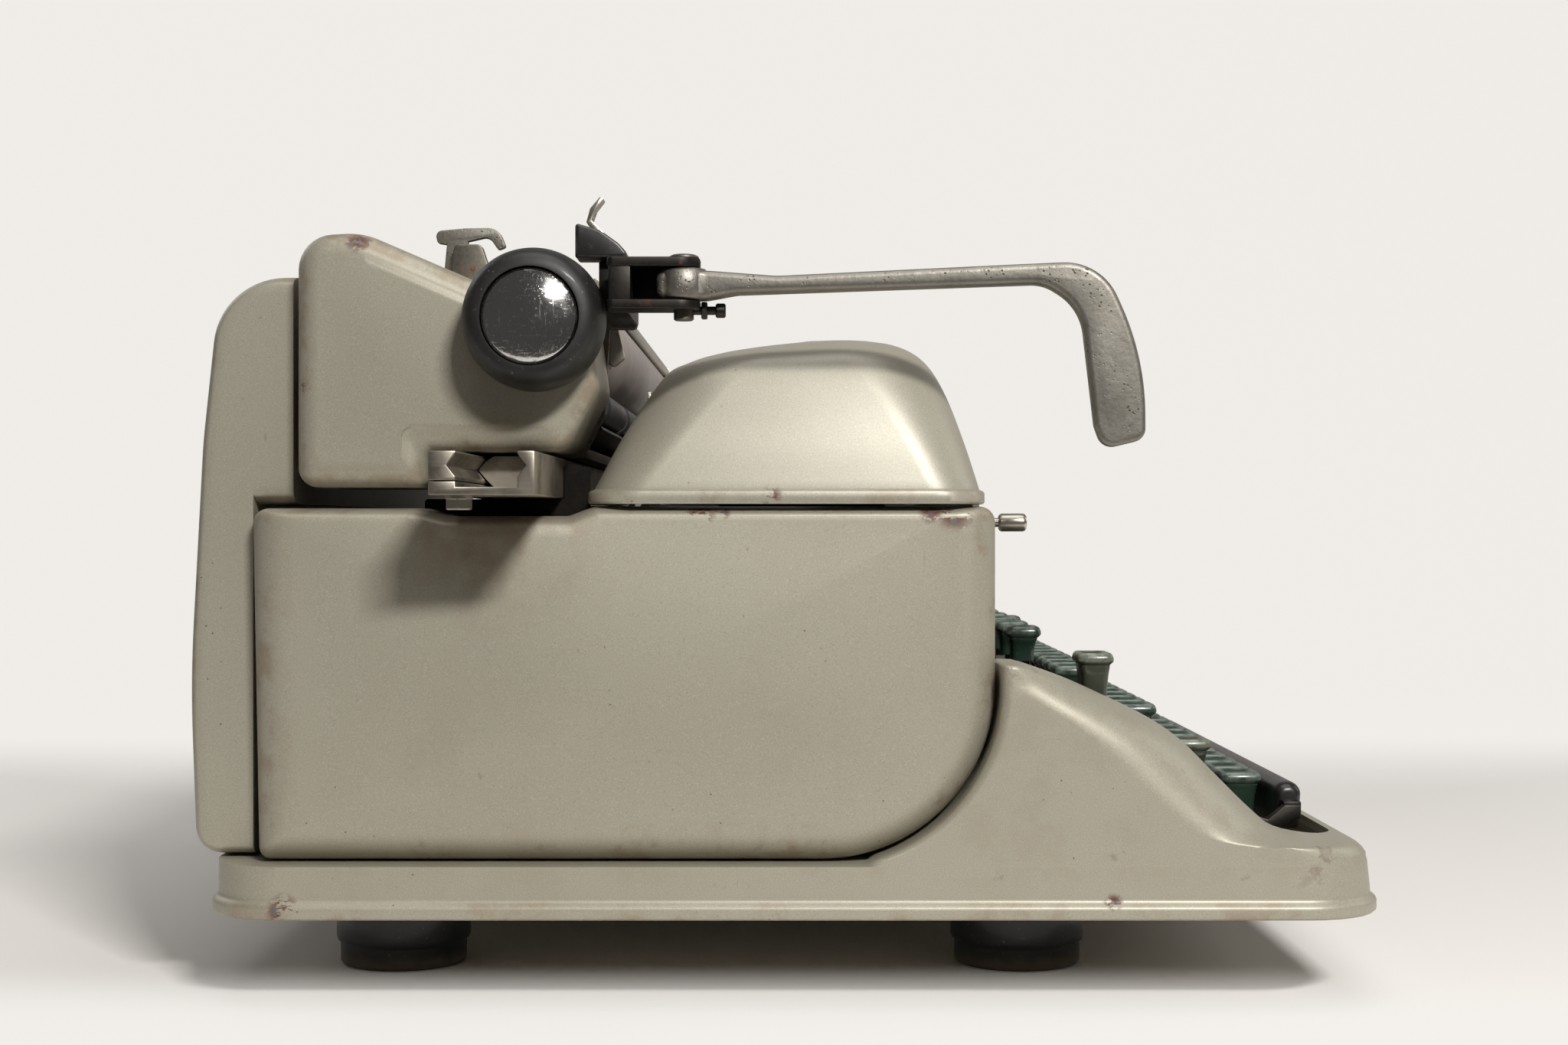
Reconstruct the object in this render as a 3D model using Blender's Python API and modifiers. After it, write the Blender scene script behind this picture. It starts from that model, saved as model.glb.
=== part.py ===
"""Wide-carriage typewriter, modelled from its left side view.

Sizes are in millimetres and turned into metres where a mesh is made. +X is the typist's right,
-Y is towards the typist, +Z is up. The floor is Z = 0 and X = 0 is the middle of the keyboard.
At the end the whole machine is moved so that its origin is the middle of its footprint.
"""

import math

import bmesh
import bpy
from mathutils import Matrix, Vector

MM = 0.001
GAP = 0.3
OVERLAP = 0.6

# Body
BODY_WIDTH = 366.0
BASE_BOTTOM = 28.0
BASE_FRONT = -183.5
BASE_BACK = 177.0
BASE_WALL = 2.5
BASE_CORNER = 24.0
FLANGE_HEIGHT = 4.8
FLANGE_PROUD = 2.0
DECK_HEIGHT = 44.0
WING_TOP = 106.0
WING_BACK = -67.0
WING_SEAM_RADIUS = 3.0
WING_WIDTH = 30.0
WELL_FRONT_LIP = 8.0
WELL_CORNER = 12.0
FOOT_RADIUS = 22.5
FOOT_X = 104.0
FOOT_FRONT_Y = -79.0
FOOT_REAR_Y = 129.0

# Covers
COVER_WALL = 2.2
SIDE_COVER_TOP = 153.6
SIDE_COVER_FRONT = -65.5
SIDE_COVER_BACK = 164.5
SIDE_COVER_DEPTH = 33.0
SIDE_COVER_SWEEP = 54.0
SIDE_COVER_DIP = 3.0
SIDE_COVER_EDGE = 8.0
SIDE_COVER_CROWN = 2.0
SIDE_COVER_SEAM = 1.0
REAR_COVER_INSET = 18.0
REAR_COVER_FRONT = 153.0
REAR_COVER_BACK = 187.0
REAR_COVER_TOP = 226.0
REAR_COVER_EDGE = 12.0
RIBBON_COVER_TOP = 209.0
RIBBON_COVER_SIDE_LEDGE = 2.0
RIBBON_COVER_LEDGE = 3.0
RIBBON_COVER_BACK = 61.0
RIBBON_COVER_NOTCH_HALF_WIDTH = 48.0
RIBBON_COVER_NOTCH_FRONT = -12.0
COVER_SEAM = 0.7
PANEL_BOTTOM = 112.0
HINGE_PIN_RADIUS = 1.3
SELECTOR_FROM_SIDE = 32.0
SELECTOR_Z = 148.6
SELECTOR_TRAVEL = 6.0
SELECTOR_RADIUS = 3.0
SELECTOR_STEM = 1.5

# Chassis and rails
FRAME_SIDE_CLEARANCE = 2.5
FRAME_PLATE = 3.5
FRAME_FRONT = -55.0
FRAME_BACK = 146.0
FRAME_TOP = 147.0
RAIL_LENGTH = 454.0
RAIL_BOTTOM = 156.4
RAIL_TOP = 169.0
RAIL_FRONT = 70.7
RAIL_BACK = 100.9
RAIL_UPRIGHT = 4.9
RAIL_BLOCK = 7.7
RAIL_BED = 2.3
RAIL_LEDGE = 3.9
GROOVE_HEIGHT = 6.4
GROOVE_DEPTH = 2.6
GROOVE_CENTRE = 164.9

# Carriage
CARRIAGE_SHIFT = 79.0
PLATEN_LENGTH = 400.0
PLATEN_RADIUS = 19.0
PLATEN_Y = 75.4
PLATEN_Z = 209.8
PLATEN_SHAFT_RADIUS = 4.0
PLATEN_END_GAP = 4.0
END_PLATE = 4.0
END_COVER_DEPTH = 50.0
END_COVER_TOP = 238.0
END_COVER_BACK = 149.8
END_COVER_FRONT = 57.0
END_COVER_STEP_Y = 109.8
END_COVER_BOTTOM = 170.4
END_COVER_LOW = 159.4
END_COVER_EDGE = 7.0
END_COVER_CROWN = 1.2
END_COVER_CREST = 0.709
KNOB_RADIUS = 21.6
KNOB_LENGTH = 21.0
KNOB_CAP_RADIUS = 14.5
KNOB_CAP_RISE = 2.4
BED_THICKNESS = 3.5
FEED_ROLLER_RADIUS = 6.0
FEED_ROLLER_ANGLE = 27.0
PAPER_TABLE_TOP = 238.0
RACK_Y = 130.0
RACK_Z = 190.0
MARGIN_STOP_X = 160.0
PAPER_RELEASE_BEHIND = 32.0
BAIL_ROD_RADIUS = 2.2
BAIL_PIVOT_AHEAD = 19.4
BAIL_PIVOT_BELOW = 6.0
BAIL_ANGLE = 50.0

# Return lever
LEVER_X = -192.0
LEVER_Y = 30.0
LEVER_REACH = 138.0
LEVER_OUTWARD = 3.0
LEVER_TOP = 224.3
LEVER_GRIP_BOTTOM = 170.2
LEVER_WIDTH = 11.0
LEVER_PIN_RADIUS = 3.0
FORK_PLATE = 2.8
FORK_BOTTOM = 212.0
FORK_WIDTH = 15.0
FORK_REACH = 22.6
WEDGE_BOTTOM = 229.0
WEDGE_TOP = 239.6
WEDGE_BACK = 63.4
WEDGE_LENGTH = 17.0
WEDGE_WIDTH = 14.0
SPACING_LEVER_X = -155.0
SPACING_LEVER_Y = 55.0

# Keys
KEY_PITCH = 19.05
KEY_WIDTH = 15.8
KEY_LENGTH = 14.0
KEY_RIM = 2.6
KEY_BODY = 13.0
KEY_STEP = 12.2
KEY_NECK = 9.6
SPACE_BAR_FROM_FRAME = 29.5
SPACE_BAR_TOP = 62.2
SPACE_BAR_FRONT = -173.2
SPACE_BAR_DEPTH = 9.4
SPACE_BAR_HEIGHT = 12.0
SPACE_ARM_OUTSET = 5.2
HOME_LIP = 73.2
HOME_Y = -136.4
ROW_DEPTH = 19.05
KEY_ROWS_OFFSET = 2.675
KEY_FIELD_MARGIN = 28.5
TALL_KEY_FROM_FRAME = 10.5
TALL_KEY_RISE = 6.4
TALL_KEY_Y = -100.2
TALL_KEY_WIDTH = 18.0
SPECIAL_KEY_LENGTH = 11.8
TALL_KEY_BODY = 19.0
FUNCTION_KEY_Y = -80.6
FUNCTION_KEY_LIP = 111.0
FUNCTION_KEY_FROM_FRAME = 41.9
FUNCTION_KEYS = 7
LEVER_PLATE = 2.0
KEY_LEVER_BOTTOM = 51.0
KEY_LEVER_HEIGHT = 6.0
KEY_STEM = 3.5
KEY_ROD_Y = 95.0
KEY_ROD_RADIUS = 3.0
CROSSBAR_BOTTOM = 37.5
CROSSBAR_SIZE = 4.5
FUNCTION_ROD_Y = -8.0
FUNCTION_ROD_Z = 90.0

# Type mechanism
TYPE_PIVOT_Y = 40.0
TYPE_PIVOT_Z = 122.0
TYPE_BAR_LENGTH = 83.5
TYPE_BAR_HEIGHT = 4.6
TYPE_BAR_THICKNESS = 1.2
TYPE_FAN_SPACING = 2.5
TYPE_FAN_BARS = 13
TYPE_ROOT_RADIUS = 82.1
SEGMENT_INNER = 74.0
SEGMENT_OUTER = 92.0
SEGMENT_ANGLE = 42.0
GUIDE_Y = 49.5
GUIDE_HALF_WIDTH = 13.0
GUIDE_TOP = 200.0
GUIDE_SLOT_BOTTOM = 150.0
PRONG_X = 17.5
PRONG_WIDTH = 3.0
PRONG_TOP = 196.5
SPOOL_FROM_FRAME = 39.5
SPOOL_Y = -6.0
SPOOL_RADIUS = 25.0
SPOOL_HEIGHT = 13.0
CUP_RADIUS = 28.0
CUP_HEIGHT = 11.0
CUP_WALL = 1.2
DRUM_FROM_FRAME = 43.5
DRUM_Y = 118.0
DRUM_Z = 116.0
DRUM_RADIUS = 27.0
DRUM_DEPTH = 16.0
DRUM_AXLE_RADIUS = 2.6
ESCAPEMENT_AXLE_RADIUS = 1.7
ESCAPEMENT_RADIUS = 15.5
ESCAPEMENT_Y = 104.5
RACK_TEETH_BOTTOM = 157.6
BELL_FROM_FRAME = 57.5
BELL_Y = 125.0
BELL_Z = 62.0
BELL_RADIUS = 22.0

# Worked out from the sizes above
BODY_HALF = BODY_WIDTH / 2
SIDE_COVER_INNER = BODY_HALF - SIDE_COVER_DEPTH
SIDE_COVER_BOTTOM = DECK_HEIGHT + GAP
WELL_HALF_WIDTH = BODY_HALF - WING_WIDTH
REAR_COVER_HALF_WIDTH = BODY_HALF - REAR_COVER_INSET
RIBBON_COVER_HALF_WIDTH = BODY_HALF - RIBBON_COVER_SIDE_LEDGE
FRAME_HALF_WIDTH = SIDE_COVER_INNER - FRAME_SIDE_CLEARANCE
SELECTOR_X = SELECTOR_FROM_SIDE - SIDE_COVER_INNER
SPACE_BAR_LENGTH = 2 * (FRAME_HALF_WIDTH - SPACE_BAR_FROM_FRAME)
NUMBER_ROW_KEYS = int(2 * (FRAME_HALF_WIDTH - KEY_FIELD_MARGIN) / KEY_PITCH)
NUMBER_ROW_X = KEY_ROWS_OFFSET - KEY_PITCH * (NUMBER_ROW_KEYS - 1) / 2
TALL_KEY_X = FRAME_HALF_WIDTH - TALL_KEY_FROM_FRAME
FUNCTION_KEY_SPACING = 2 * (FRAME_HALF_WIDTH - FUNCTION_KEY_FROM_FRAME) / (FUNCTION_KEYS - 1)
SPOOL_X = FRAME_HALF_WIDTH - SPOOL_FROM_FRAME
DRUM_X = DRUM_FROM_FRAME - FRAME_HALF_WIDTH
BELL_X = FRAME_HALF_WIDTH - BELL_FROM_FRAME
FRAME_BOTTOM = BASE_BOTTOM + BASE_WALL + GAP
HOOD_BOTTOM = SIDE_COVER_TOP + COVER_SEAM
RIBBON_COVER_FRONT = SIDE_COVER_FRONT + RIBBON_COVER_LEDGE
HINGE_Y = RIBBON_COVER_FRONT - GAP
HINGE_Z = HOOD_BOTTOM + GAP
PANEL_FRONT = SIDE_COVER_FRONT + 1.0
CARRIAGE_LEFT = CARRIAGE_SHIFT - PLATEN_LENGTH / 2
PLATE_OFFSET = PLATEN_LENGTH / 2 + PLATEN_END_GAP
COVER_OFFSET = PLATE_OFFSET + END_PLATE + GAP
FACE_OFFSET = COVER_OFFSET + END_COVER_DEPTH
KNOB_OFFSET = FACE_OFFSET + GAP
KNOB_END = KNOB_OFFSET + KNOB_LENGTH + KNOB_CAP_RISE
KEY_ROD_Z = KEY_LEVER_BOTTOM + KEY_LEVER_HEIGHT / 2
ESCAPEMENT_Z = RACK_TEETH_BOTTOM - GAP - ESCAPEMENT_RADIUS
BELL_TAB_TOP = FRAME_BOTTOM + 12.5
PAPER_RELEASE_Y = PLATEN_Y + PAPER_RELEASE_BEHIND
PAPER_RELEASE_Z = END_COVER_TOP - 0.6
BAIL_PIVOT_Y = PLATEN_Y - BAIL_PIVOT_AHEAD
BAIL_PIVOT_Z = PLATEN_Z - BAIL_PIVOT_BELOW
CENTRE_X = (CARRIAGE_SHIFT + KNOB_END - RAIL_LENGTH / 2) / 2
CENTRE_Y = (REAR_COVER_BACK + BASE_FRONT - FLANGE_PROUD) / 2

PAINT = ("cream_paint", (0.56, 0.54, 0.47), 0.38, 0.25)
RUBBER = ("black_rubber", (0.02, 0.021, 0.022), 0.55, 0.0)
BAKELITE = ("black_plastic", (0.015, 0.015, 0.016), 0.25, 0.0)
KEY_GREEN = ("green_key", (0.012, 0.06, 0.05), 0.3, 0.0)
KEY_OLIVE = ("olive_key", (0.12, 0.14, 0.11), 0.35, 0.0)
STEEL = ("brushed_steel", (0.42, 0.4, 0.36), 0.35, 1.0)
DARK_STEEL = ("dark_steel", (0.12, 0.11, 0.1), 0.5, 0.9)
CAST = ("cast_lever", (0.36, 0.35, 0.33), 0.5, 0.7)
CHROME = ("chrome", (0.75, 0.75, 0.75), 0.08, 1.0)
CLOTH = ("ink_ribbon", (0.03, 0.03, 0.035), 0.8, 0.0)

PARTS = "typewriter"
CUTTERS = "cutters"
SIDES = {"left": -1, "right": 1}


def clear_scene():
    for old in list(bpy.data.objects):
        bpy.data.objects.remove(old, do_unlink=True)
    for name in (PARTS, CUTTERS):
        folder = bpy.data.collections.new(name)
        bpy.context.scene.collection.children.link(folder)


def material(look):
    name, colour, roughness, metallic = look
    found = bpy.data.materials.get(name)
    if found:
        return found
    made = bpy.data.materials.new(name)
    made.use_nodes = True
    shader = made.node_tree.nodes["Principled BSDF"]
    shader.inputs["Base Color"].default_value = (*colour, 1.0)
    shader.inputs["Roughness"].default_value = roughness
    shader.inputs["Metallic"].default_value = metallic
    return made


def body(name, parent=None, pivot=(0.0, 0.0, 0.0)):
    """An empty on a moving body's joint axis, which carries that body's pieces."""
    empty = bpy.data.objects.new(name, None)
    bpy.data.collections[PARTS].objects.link(empty)
    empty["pivot"] = list(pivot)
    empty.parent = parent
    start = Vector(parent["pivot"]) if parent else Vector()
    empty.location = (Vector(pivot) - start) * MM
    return empty


def as_object(mesh, name="shape"):
    made = bpy.data.objects.new(name, mesh)
    bpy.data.collections[CUTTERS].objects.link(made)
    made.hide_render = True
    made.display_type = "WIRE"
    return made


def finish(shape, name, look, parent, smooth=True):
    """Name a shape as a piece of the machine, on the body that carries it."""
    shape.name = name
    shape.data.name = name
    for folder in list(shape.users_collection):
        folder.objects.unlink(shape)
    bpy.data.collections[PARTS].objects.link(shape)
    shape.hide_render = False
    shape.display_type = "TEXTURED"
    shape.parent = parent
    shape.location -= Vector(parent["pivot"]) * MM
    shape.data.materials.clear()
    shape.data.materials.append(material(look))
    if smooth:
        shape.data.shade_smooth()
        shape.data.set_sharp_from_angle(angle=math.radians(35))
    return shape


def bake(shape):
    """Replace a shape's mesh by what its modifiers make of it."""
    bpy.context.view_layer.update()
    graph = bpy.context.evaluated_depsgraph_get()
    mesh = bpy.data.meshes.new_from_object(shape.evaluated_get(graph))
    shape.modifiers.clear()
    shape.data = mesh
    return shape


def carve(shape, *cutters):
    """Cut cutters out of a shape."""
    for cutter in cutters:
        cut = shape.modifiers.new("cut", "BOOLEAN")
        cut.operation = "DIFFERENCE"
        cut.solver = "EXACT"
        cut.object = cutter
    bake(shape)
    for cutter in cutters:
        bpy.data.objects.remove(cutter, do_unlink=True)
    return shape


def fuse(shapes):
    """Join overlapping shapes into one closed body."""
    first, rest = shapes[0], shapes[1:]
    joined = bmesh.new()
    for shape in rest:
        bpy.context.view_layer.update()
        mesh = shape.data.copy()
        mesh.transform(shape.matrix_world)
        joined.from_mesh(mesh)
    mesh = bpy.data.meshes.new("joined")
    joined.to_mesh(mesh)
    joined.free()
    for shape in rest:
        bpy.data.objects.remove(shape, do_unlink=True)
    other = as_object(mesh)
    join = first.modifiers.new("join", "BOOLEAN")
    join.operation = "UNION"
    join.solver = "EXACT"
    join.use_self = True
    join.object = other
    bake(first)
    bpy.data.objects.remove(other, do_unlink=True)
    return first


def face_outwards(shape):
    """Merge doubled points and turn every face outwards."""
    mesh = bmesh.new()
    mesh.from_mesh(shape.data)
    bmesh.ops.remove_doubles(mesh, verts=mesh.verts, dist=0.00001)
    bmesh.ops.recalc_face_normals(mesh, faces=mesh.faces)
    mesh.to_mesh(shape.data)
    mesh.free()
    return shape


def cuboid(low, high):
    shape = bmesh.new()
    bmesh.ops.create_cube(shape, size=1.0)
    low, high = Vector(low), Vector(high)
    size = high - low
    bmesh.ops.scale(shape, vec=size * MM, verts=shape.verts)
    bmesh.ops.translate(shape, vec=(low + high) / 2 * MM, verts=shape.verts)
    mesh = bpy.data.meshes.new("cuboid")
    shape.to_mesh(mesh)
    shape.free()
    return as_object(mesh)


def rod(start, end, radius, sides=16, end_radius=None):
    """A round bar, or a cone, between two points."""
    start, end = Vector(start), Vector(end)
    shape = bmesh.new()
    bmesh.ops.create_cone(
        shape,
        cap_ends=True,
        segments=sides,
        radius1=radius * MM,
        radius2=(radius if end_radius is None else end_radius) * MM,
        depth=(end - start).length * MM,
    )
    mesh = bpy.data.meshes.new("rod")
    shape.to_mesh(mesh)
    shape.free()
    turn = Vector((0, 0, 1)).rotation_difference(end - start).to_matrix().to_4x4()
    mesh.transform(Matrix.Translation((start + end) / 2 * MM) @ turn)
    return as_object(mesh)


def plate(outline, axis, low, high):
    """A flat outline given thickness along an axis. X takes (y, z), Y takes (x, z), Z takes (x, y)."""
    curve = bpy.data.curves.new("outline", "CURVE")
    curve.dimensions = "2D"
    curve.fill_mode = "BOTH"
    curve.extrude = (high - low) / 2 * MM
    spline = curve.splines.new("POLY")
    spline.points.add(len(outline) - 1)
    spline.use_cyclic_u = True
    for point, (across, along) in zip(spline.points, outline):
        point.co = (across * MM, along * MM, 0.0, 1.0)
    drawn = as_object_curve(curve)
    middle = (low + high) / 2 * MM
    right_angle = math.radians(90)
    if axis == "X":
        drawn.rotation_euler = (right_angle, 0.0, right_angle)
        drawn.location.x = middle
    elif axis == "Y":
        drawn.rotation_euler = (right_angle, 0.0, 0.0)
        drawn.location.y = middle
    else:
        drawn.location.z = middle
    return curve_to_mesh(drawn)


def as_object_curve(curve):
    drawn = bpy.data.objects.new("outline", curve)
    bpy.data.collections[CUTTERS].objects.link(drawn)
    return drawn


def curve_to_mesh(drawn):
    bpy.context.view_layer.update()
    graph = bpy.context.evaluated_depsgraph_get()
    mesh = bpy.data.meshes.new_from_object(drawn.evaluated_get(graph))
    mesh.transform(drawn.matrix_world)
    bpy.data.objects.remove(drawn, do_unlink=True)
    return face_outwards(as_object(mesh))


def turned(profile, centre, axis, steps=32):
    """A turned solid: (radius, height) pairs from the top down, heights along the axis."""
    shape = bmesh.new()
    points = [shape.verts.new((radius * MM, 0.0, height * MM)) for radius, height in profile]
    for above, below in zip(points, points[1:]):
        shape.edges.new((above, below))
    mesh = bpy.data.meshes.new("turned")
    shape.to_mesh(mesh)
    shape.free()
    made = as_object(mesh)
    spin = made.modifiers.new("spin", "SCREW")
    spin.steps = steps
    spin.render_steps = steps
    spin.use_merge_vertices = True
    spin.merge_threshold = 0.00001
    spin.use_normal_calculate = True
    bake(made)
    turn = Vector((0, 0, 1)).rotation_difference(Vector(axis)).to_matrix().to_4x4()
    made.data.transform(Matrix.Translation(Vector(centre) * MM) @ turn)
    return face_outwards(made)


def rounded(corners, steps=4):
    """An outline from (across, along, radius) corners; a fourth value sets that arc's own steps."""
    points = []
    count = len(corners)
    for index, (across, along, radius, *own_steps) in enumerate(corners):
        here = Vector((across, along))
        if radius <= 0:
            points.append((across, along))
            continue
        before = Vector(corners[index - 1][:2]) - here
        after = Vector(corners[(index + 1) % count][:2]) - here
        before.normalize()
        after.normalize()
        half = before.angle(after) / 2
        reach = radius / math.tan(half)
        centre = here + (before + after).normalized() * (radius / math.sin(half))
        start = here + before * reach - centre
        end = here + after * reach - centre
        sweep = start.angle_signed(end)
        bends = own_steps[0] if own_steps else steps
        for step in range(bends + 1):
            turn = Matrix.Rotation(-sweep * step / bends, 2)
            points.append(tuple(centre + turn @ start))
    return points


def drawn_in(corners, distance):
    """Corners moved inwards by a distance, with outer radii drawn in to match."""
    points = [Vector(corner[:2]) for corner in corners]
    following = points[1:] + points[:1]
    area = sum(point.x * after.y - after.x * point.y for point, after in zip(points, following))
    side = 1 if area > 0 else -1
    moved = []
    for index, (point, after) in enumerate(zip(points, following)):
        coming = (point - points[index - 1]).normalized()
        going = (after - point).normalized()
        first = Vector((-coming.y, coming.x)) * side
        second = Vector((-going.y, going.x)) * side
        normal = (first + second).normalized()
        place = point + normal * distance / max(normal.dot(first), 0.2)
        radius = corners[index][2]
        if (coming.x * going.y - coming.y * going.x) * side > 0:
            radius = max(radius - distance, min(radius, COVER_WALL + 0.2))
        moved.append((place.x, place.y, radius, *corners[index][3:]))
    return moved


def shrunk(outline, middle, share):
    """An outline drawn in towards a point."""
    centre = Vector(middle)
    return [tuple(centre + (Vector(point) - centre) * share) for point in outline]


def loft(rings, open_start=False):
    """A skin over rings that have the same number of points."""
    shape = bmesh.new()
    made = [[shape.verts.new(Vector(point) * MM) for point in ring] for ring in rings]
    count = len(rings[0])
    for lower, upper in zip(made, made[1:]):
        for index in range(count):
            after = (index + 1) % count
            shape.faces.new((lower[index], lower[after], upper[after], upper[index]))
    first = shape.faces.new(reversed(made[0]))
    shape.faces.new(made[-1])
    bmesh.ops.recalc_face_normals(shape, faces=shape.faces)
    if open_start:
        shape.faces.remove(first)
    mesh = bpy.data.meshes.new("loft")
    shape.to_mesh(mesh)
    shape.free()
    return as_object(mesh)


def shell(shape, wall):
    """Give an open skin a wall, inwards."""
    thicken = shape.modifiers.new("wall", "SOLIDIFY")
    thicken.thickness = wall * MM
    thicken.offset = -1.0
    thicken.use_even_offset = True
    return bake(shape)


def plan_ring(front, back, half_width, radius, height, back_radius=None, steps=3):
    """A rounded rectangle seen from above, at a height."""
    back_radius = radius if back_radius is None else back_radius
    share = min(1.0, (back - front - 0.2) / (radius + back_radius))
    corners = [
        (-half_width, front, radius * share),
        (half_width, front, radius * share),
        (half_width, back, back_radius * share),
        (-half_width, back, back_radius * share),
    ]
    return [(across, along, height) for across, along in rounded(corners, steps)]


def wing_levels():
    """The base's sections above the deck: height, front edge and corner radius."""
    rise = WING_TOP - DECK_HEIGHT
    run = WING_BACK - BASE_FRONT
    shape = (
        (0.032, 0.013, 24.0),
        (0.058, 0.034, 23.0),
        (0.069, 0.082, 20.0),
        (0.079, 0.159, 18.0),
        (0.137, 0.245, 16.0),
        (0.234, 0.314, 14.0),
        (0.406, 0.406, 13.0),
        (0.577, 0.498, 13.0),
        (0.697, 0.59, 12.0),
        (0.803, 0.704, 12.0),
        (0.9, 0.819, 10.0),
        (0.976, 0.933, 5.0),
    )
    return [(DECK_HEIGHT + rise * up, BASE_FRONT + run * along, radius) for up, along, radius in shape]


def seam_back(height):
    """Where the wing's back edge lies at a height: it follows the side cover's swept corner."""
    middle_y = SIDE_COVER_FRONT + SIDE_COVER_SWEEP
    middle_z = SIDE_COVER_BOTTOM + SIDE_COVER_SWEEP
    reach = SIDE_COVER_SWEEP + SIDE_COVER_SEAM
    if height >= middle_z:
        return SIDE_COVER_FRONT - SIDE_COVER_SEAM
    drop = min(middle_z - height, reach)
    return middle_y - math.sqrt(reach**2 - drop**2)


def base_skin(wall):
    """The base's outer skin, or its inner one when it is given a wall."""
    half = BODY_HALF - wall
    front = BASE_FRONT + wall
    back = BASE_BACK - wall
    corner = BASE_CORNER - wall
    flange_top = BASE_BOTTOM + FLANGE_HEIGHT
    deck = DECK_HEIGHT - wall
    seam_radius = WING_SEAM_RADIUS
    rings = []
    if wall:
        rings.append(plan_ring(front, back, half, corner, BASE_BOTTOM + wall))
    else:
        proud = FLANGE_PROUD
        rings.append(plan_ring(front - proud, back + proud, half + proud, corner, BASE_BOTTOM))
        rings.append(plan_ring(front - proud, back + proud, half + proud, corner, flange_top - 0.8))
        rings.append(plan_ring(front, back, half, corner, flange_top))
    rings.append(plan_ring(front + 1.0, back, half, corner, deck - 0.02))
    rings.append(plan_ring(front + 1.2, seam_back(deck + 1.2) - wall, half, corner, deck, seam_radius))
    for height, edge, radius in wing_levels():
        rear = seam_back(height) - wall
        room = rear - edge - wall
        if height - wall > deck + 1.5 and room > 3.0:
            rings.append(plan_ring(edge + wall, rear, half, radius, height - wall, seam_radius))
    return loft(rings)


def make_base(machine):
    base = base_skin(0.0)
    hollow = base_skin(BASE_WALL)
    floor = BASE_BOTTOM + BASE_WALL
    lip = BASE_FRONT + WELL_FRONT_LIP
    well_back = SIDE_COVER_FRONT + 2.0
    half = WELL_HALF_WIDTH
    well = loft(
        [
            plan_ring(lip, well_back, half, WELL_CORNER, floor),
            plan_ring(lip, well_back, half, WELL_CORNER, WING_TOP + 10.0),
        ]
    )
    inside = SIDE_COVER_INNER - 1.0
    opening = loft(
        [
            plan_ring(well_back - 8.0, FRAME_BACK + 4.0, inside, 6.0, floor),
            plan_ring(well_back - 8.0, FRAME_BACK + 4.0, inside, 6.0, WING_TOP + 10.0),
        ]
    )
    carve(base, hollow, well, opening)
    finish(base, "base", PAINT, machine)


def make_feet(machine):
    top = BASE_BOTTOM - GAP
    profile = [
        (0.0, top),
        (FOOT_RADIUS * 0.72, top),
        (FOOT_RADIUS * 0.8, top * 0.6),
        (FOOT_RADIUS, top * 0.45),
        (FOOT_RADIUS, 0.0),
        (0.0, 0.0),
    ]
    for side, sign in SIDES.items():
        for end, place in (("front", FOOT_FRONT_Y), ("rear", FOOT_REAR_Y)):
            foot = turned(profile, (sign * FOOT_X, place, 0.0), (0, 0, 1), steps=24)
            finish(foot, f"foot_{end}_{side}", RUBBER, machine)


def side_cover_corners():
    top = SIDE_COVER_TOP
    dip = top - SIDE_COVER_DIP
    return [
        (SIDE_COVER_BACK, top - 0.6, 5.0),
        (SIDE_COVER_BACK - 2.0, SIDE_COVER_BOTTOM, 4.0),
        (SIDE_COVER_FRONT, SIDE_COVER_BOTTOM, SIDE_COVER_SWEEP, 10),
        (SIDE_COVER_FRONT, top, 5.0),
        (RAIL_FRONT - 12.0, top, 6.0),
        (RAIL_FRONT - 4.0, dip, 6.0),
        (RAIL_BACK + 2.0, dip, 6.0),
        (RAIL_BACK + 12.0, top - 0.6, 6.0),
    ]


def crowned(corners, middle, open_x, face_x, edge, crown):
    """Rings of a tray: straight sides, a rounded rim and a gently crowned face."""
    sign = 1 if face_x > open_x else -1
    outline = rounded(corners, 3)
    rings = [(outline, open_x), (outline, face_x - sign * edge)]
    for degrees in (35, 65, 90):
        turn = math.radians(degrees)
        rim = rounded(drawn_in(corners, edge * (1 - math.cos(turn))), 3)
        rings.append((rim, face_x - sign * edge * (1 - math.sin(turn))))
    rings.append((shrunk(rim, middle, 0.8), face_x + sign * crown * 0.55))
    rings.append((shrunk(rim, middle, 0.4), face_x + sign * crown))
    return [[(place, across, along) for across, along in ring] for ring, place in rings]


def make_side_covers(machine):
    middle = ((SIDE_COVER_FRONT + SIDE_COVER_BACK) / 2, (SIDE_COVER_BOTTOM + SIDE_COVER_TOP) / 2)
    for side, sign in SIDES.items():
        rings = crowned(
            side_cover_corners(),
            middle,
            sign * SIDE_COVER_INNER,
            sign * (BODY_HALF - SIDE_COVER_CROWN),
            SIDE_COVER_EDGE,
            SIDE_COVER_CROWN,
        )
        cover = shell(loft(rings, open_start=True), COVER_WALL)
        finish(cover, f"side_cover_{side}", PAINT, machine)


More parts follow.
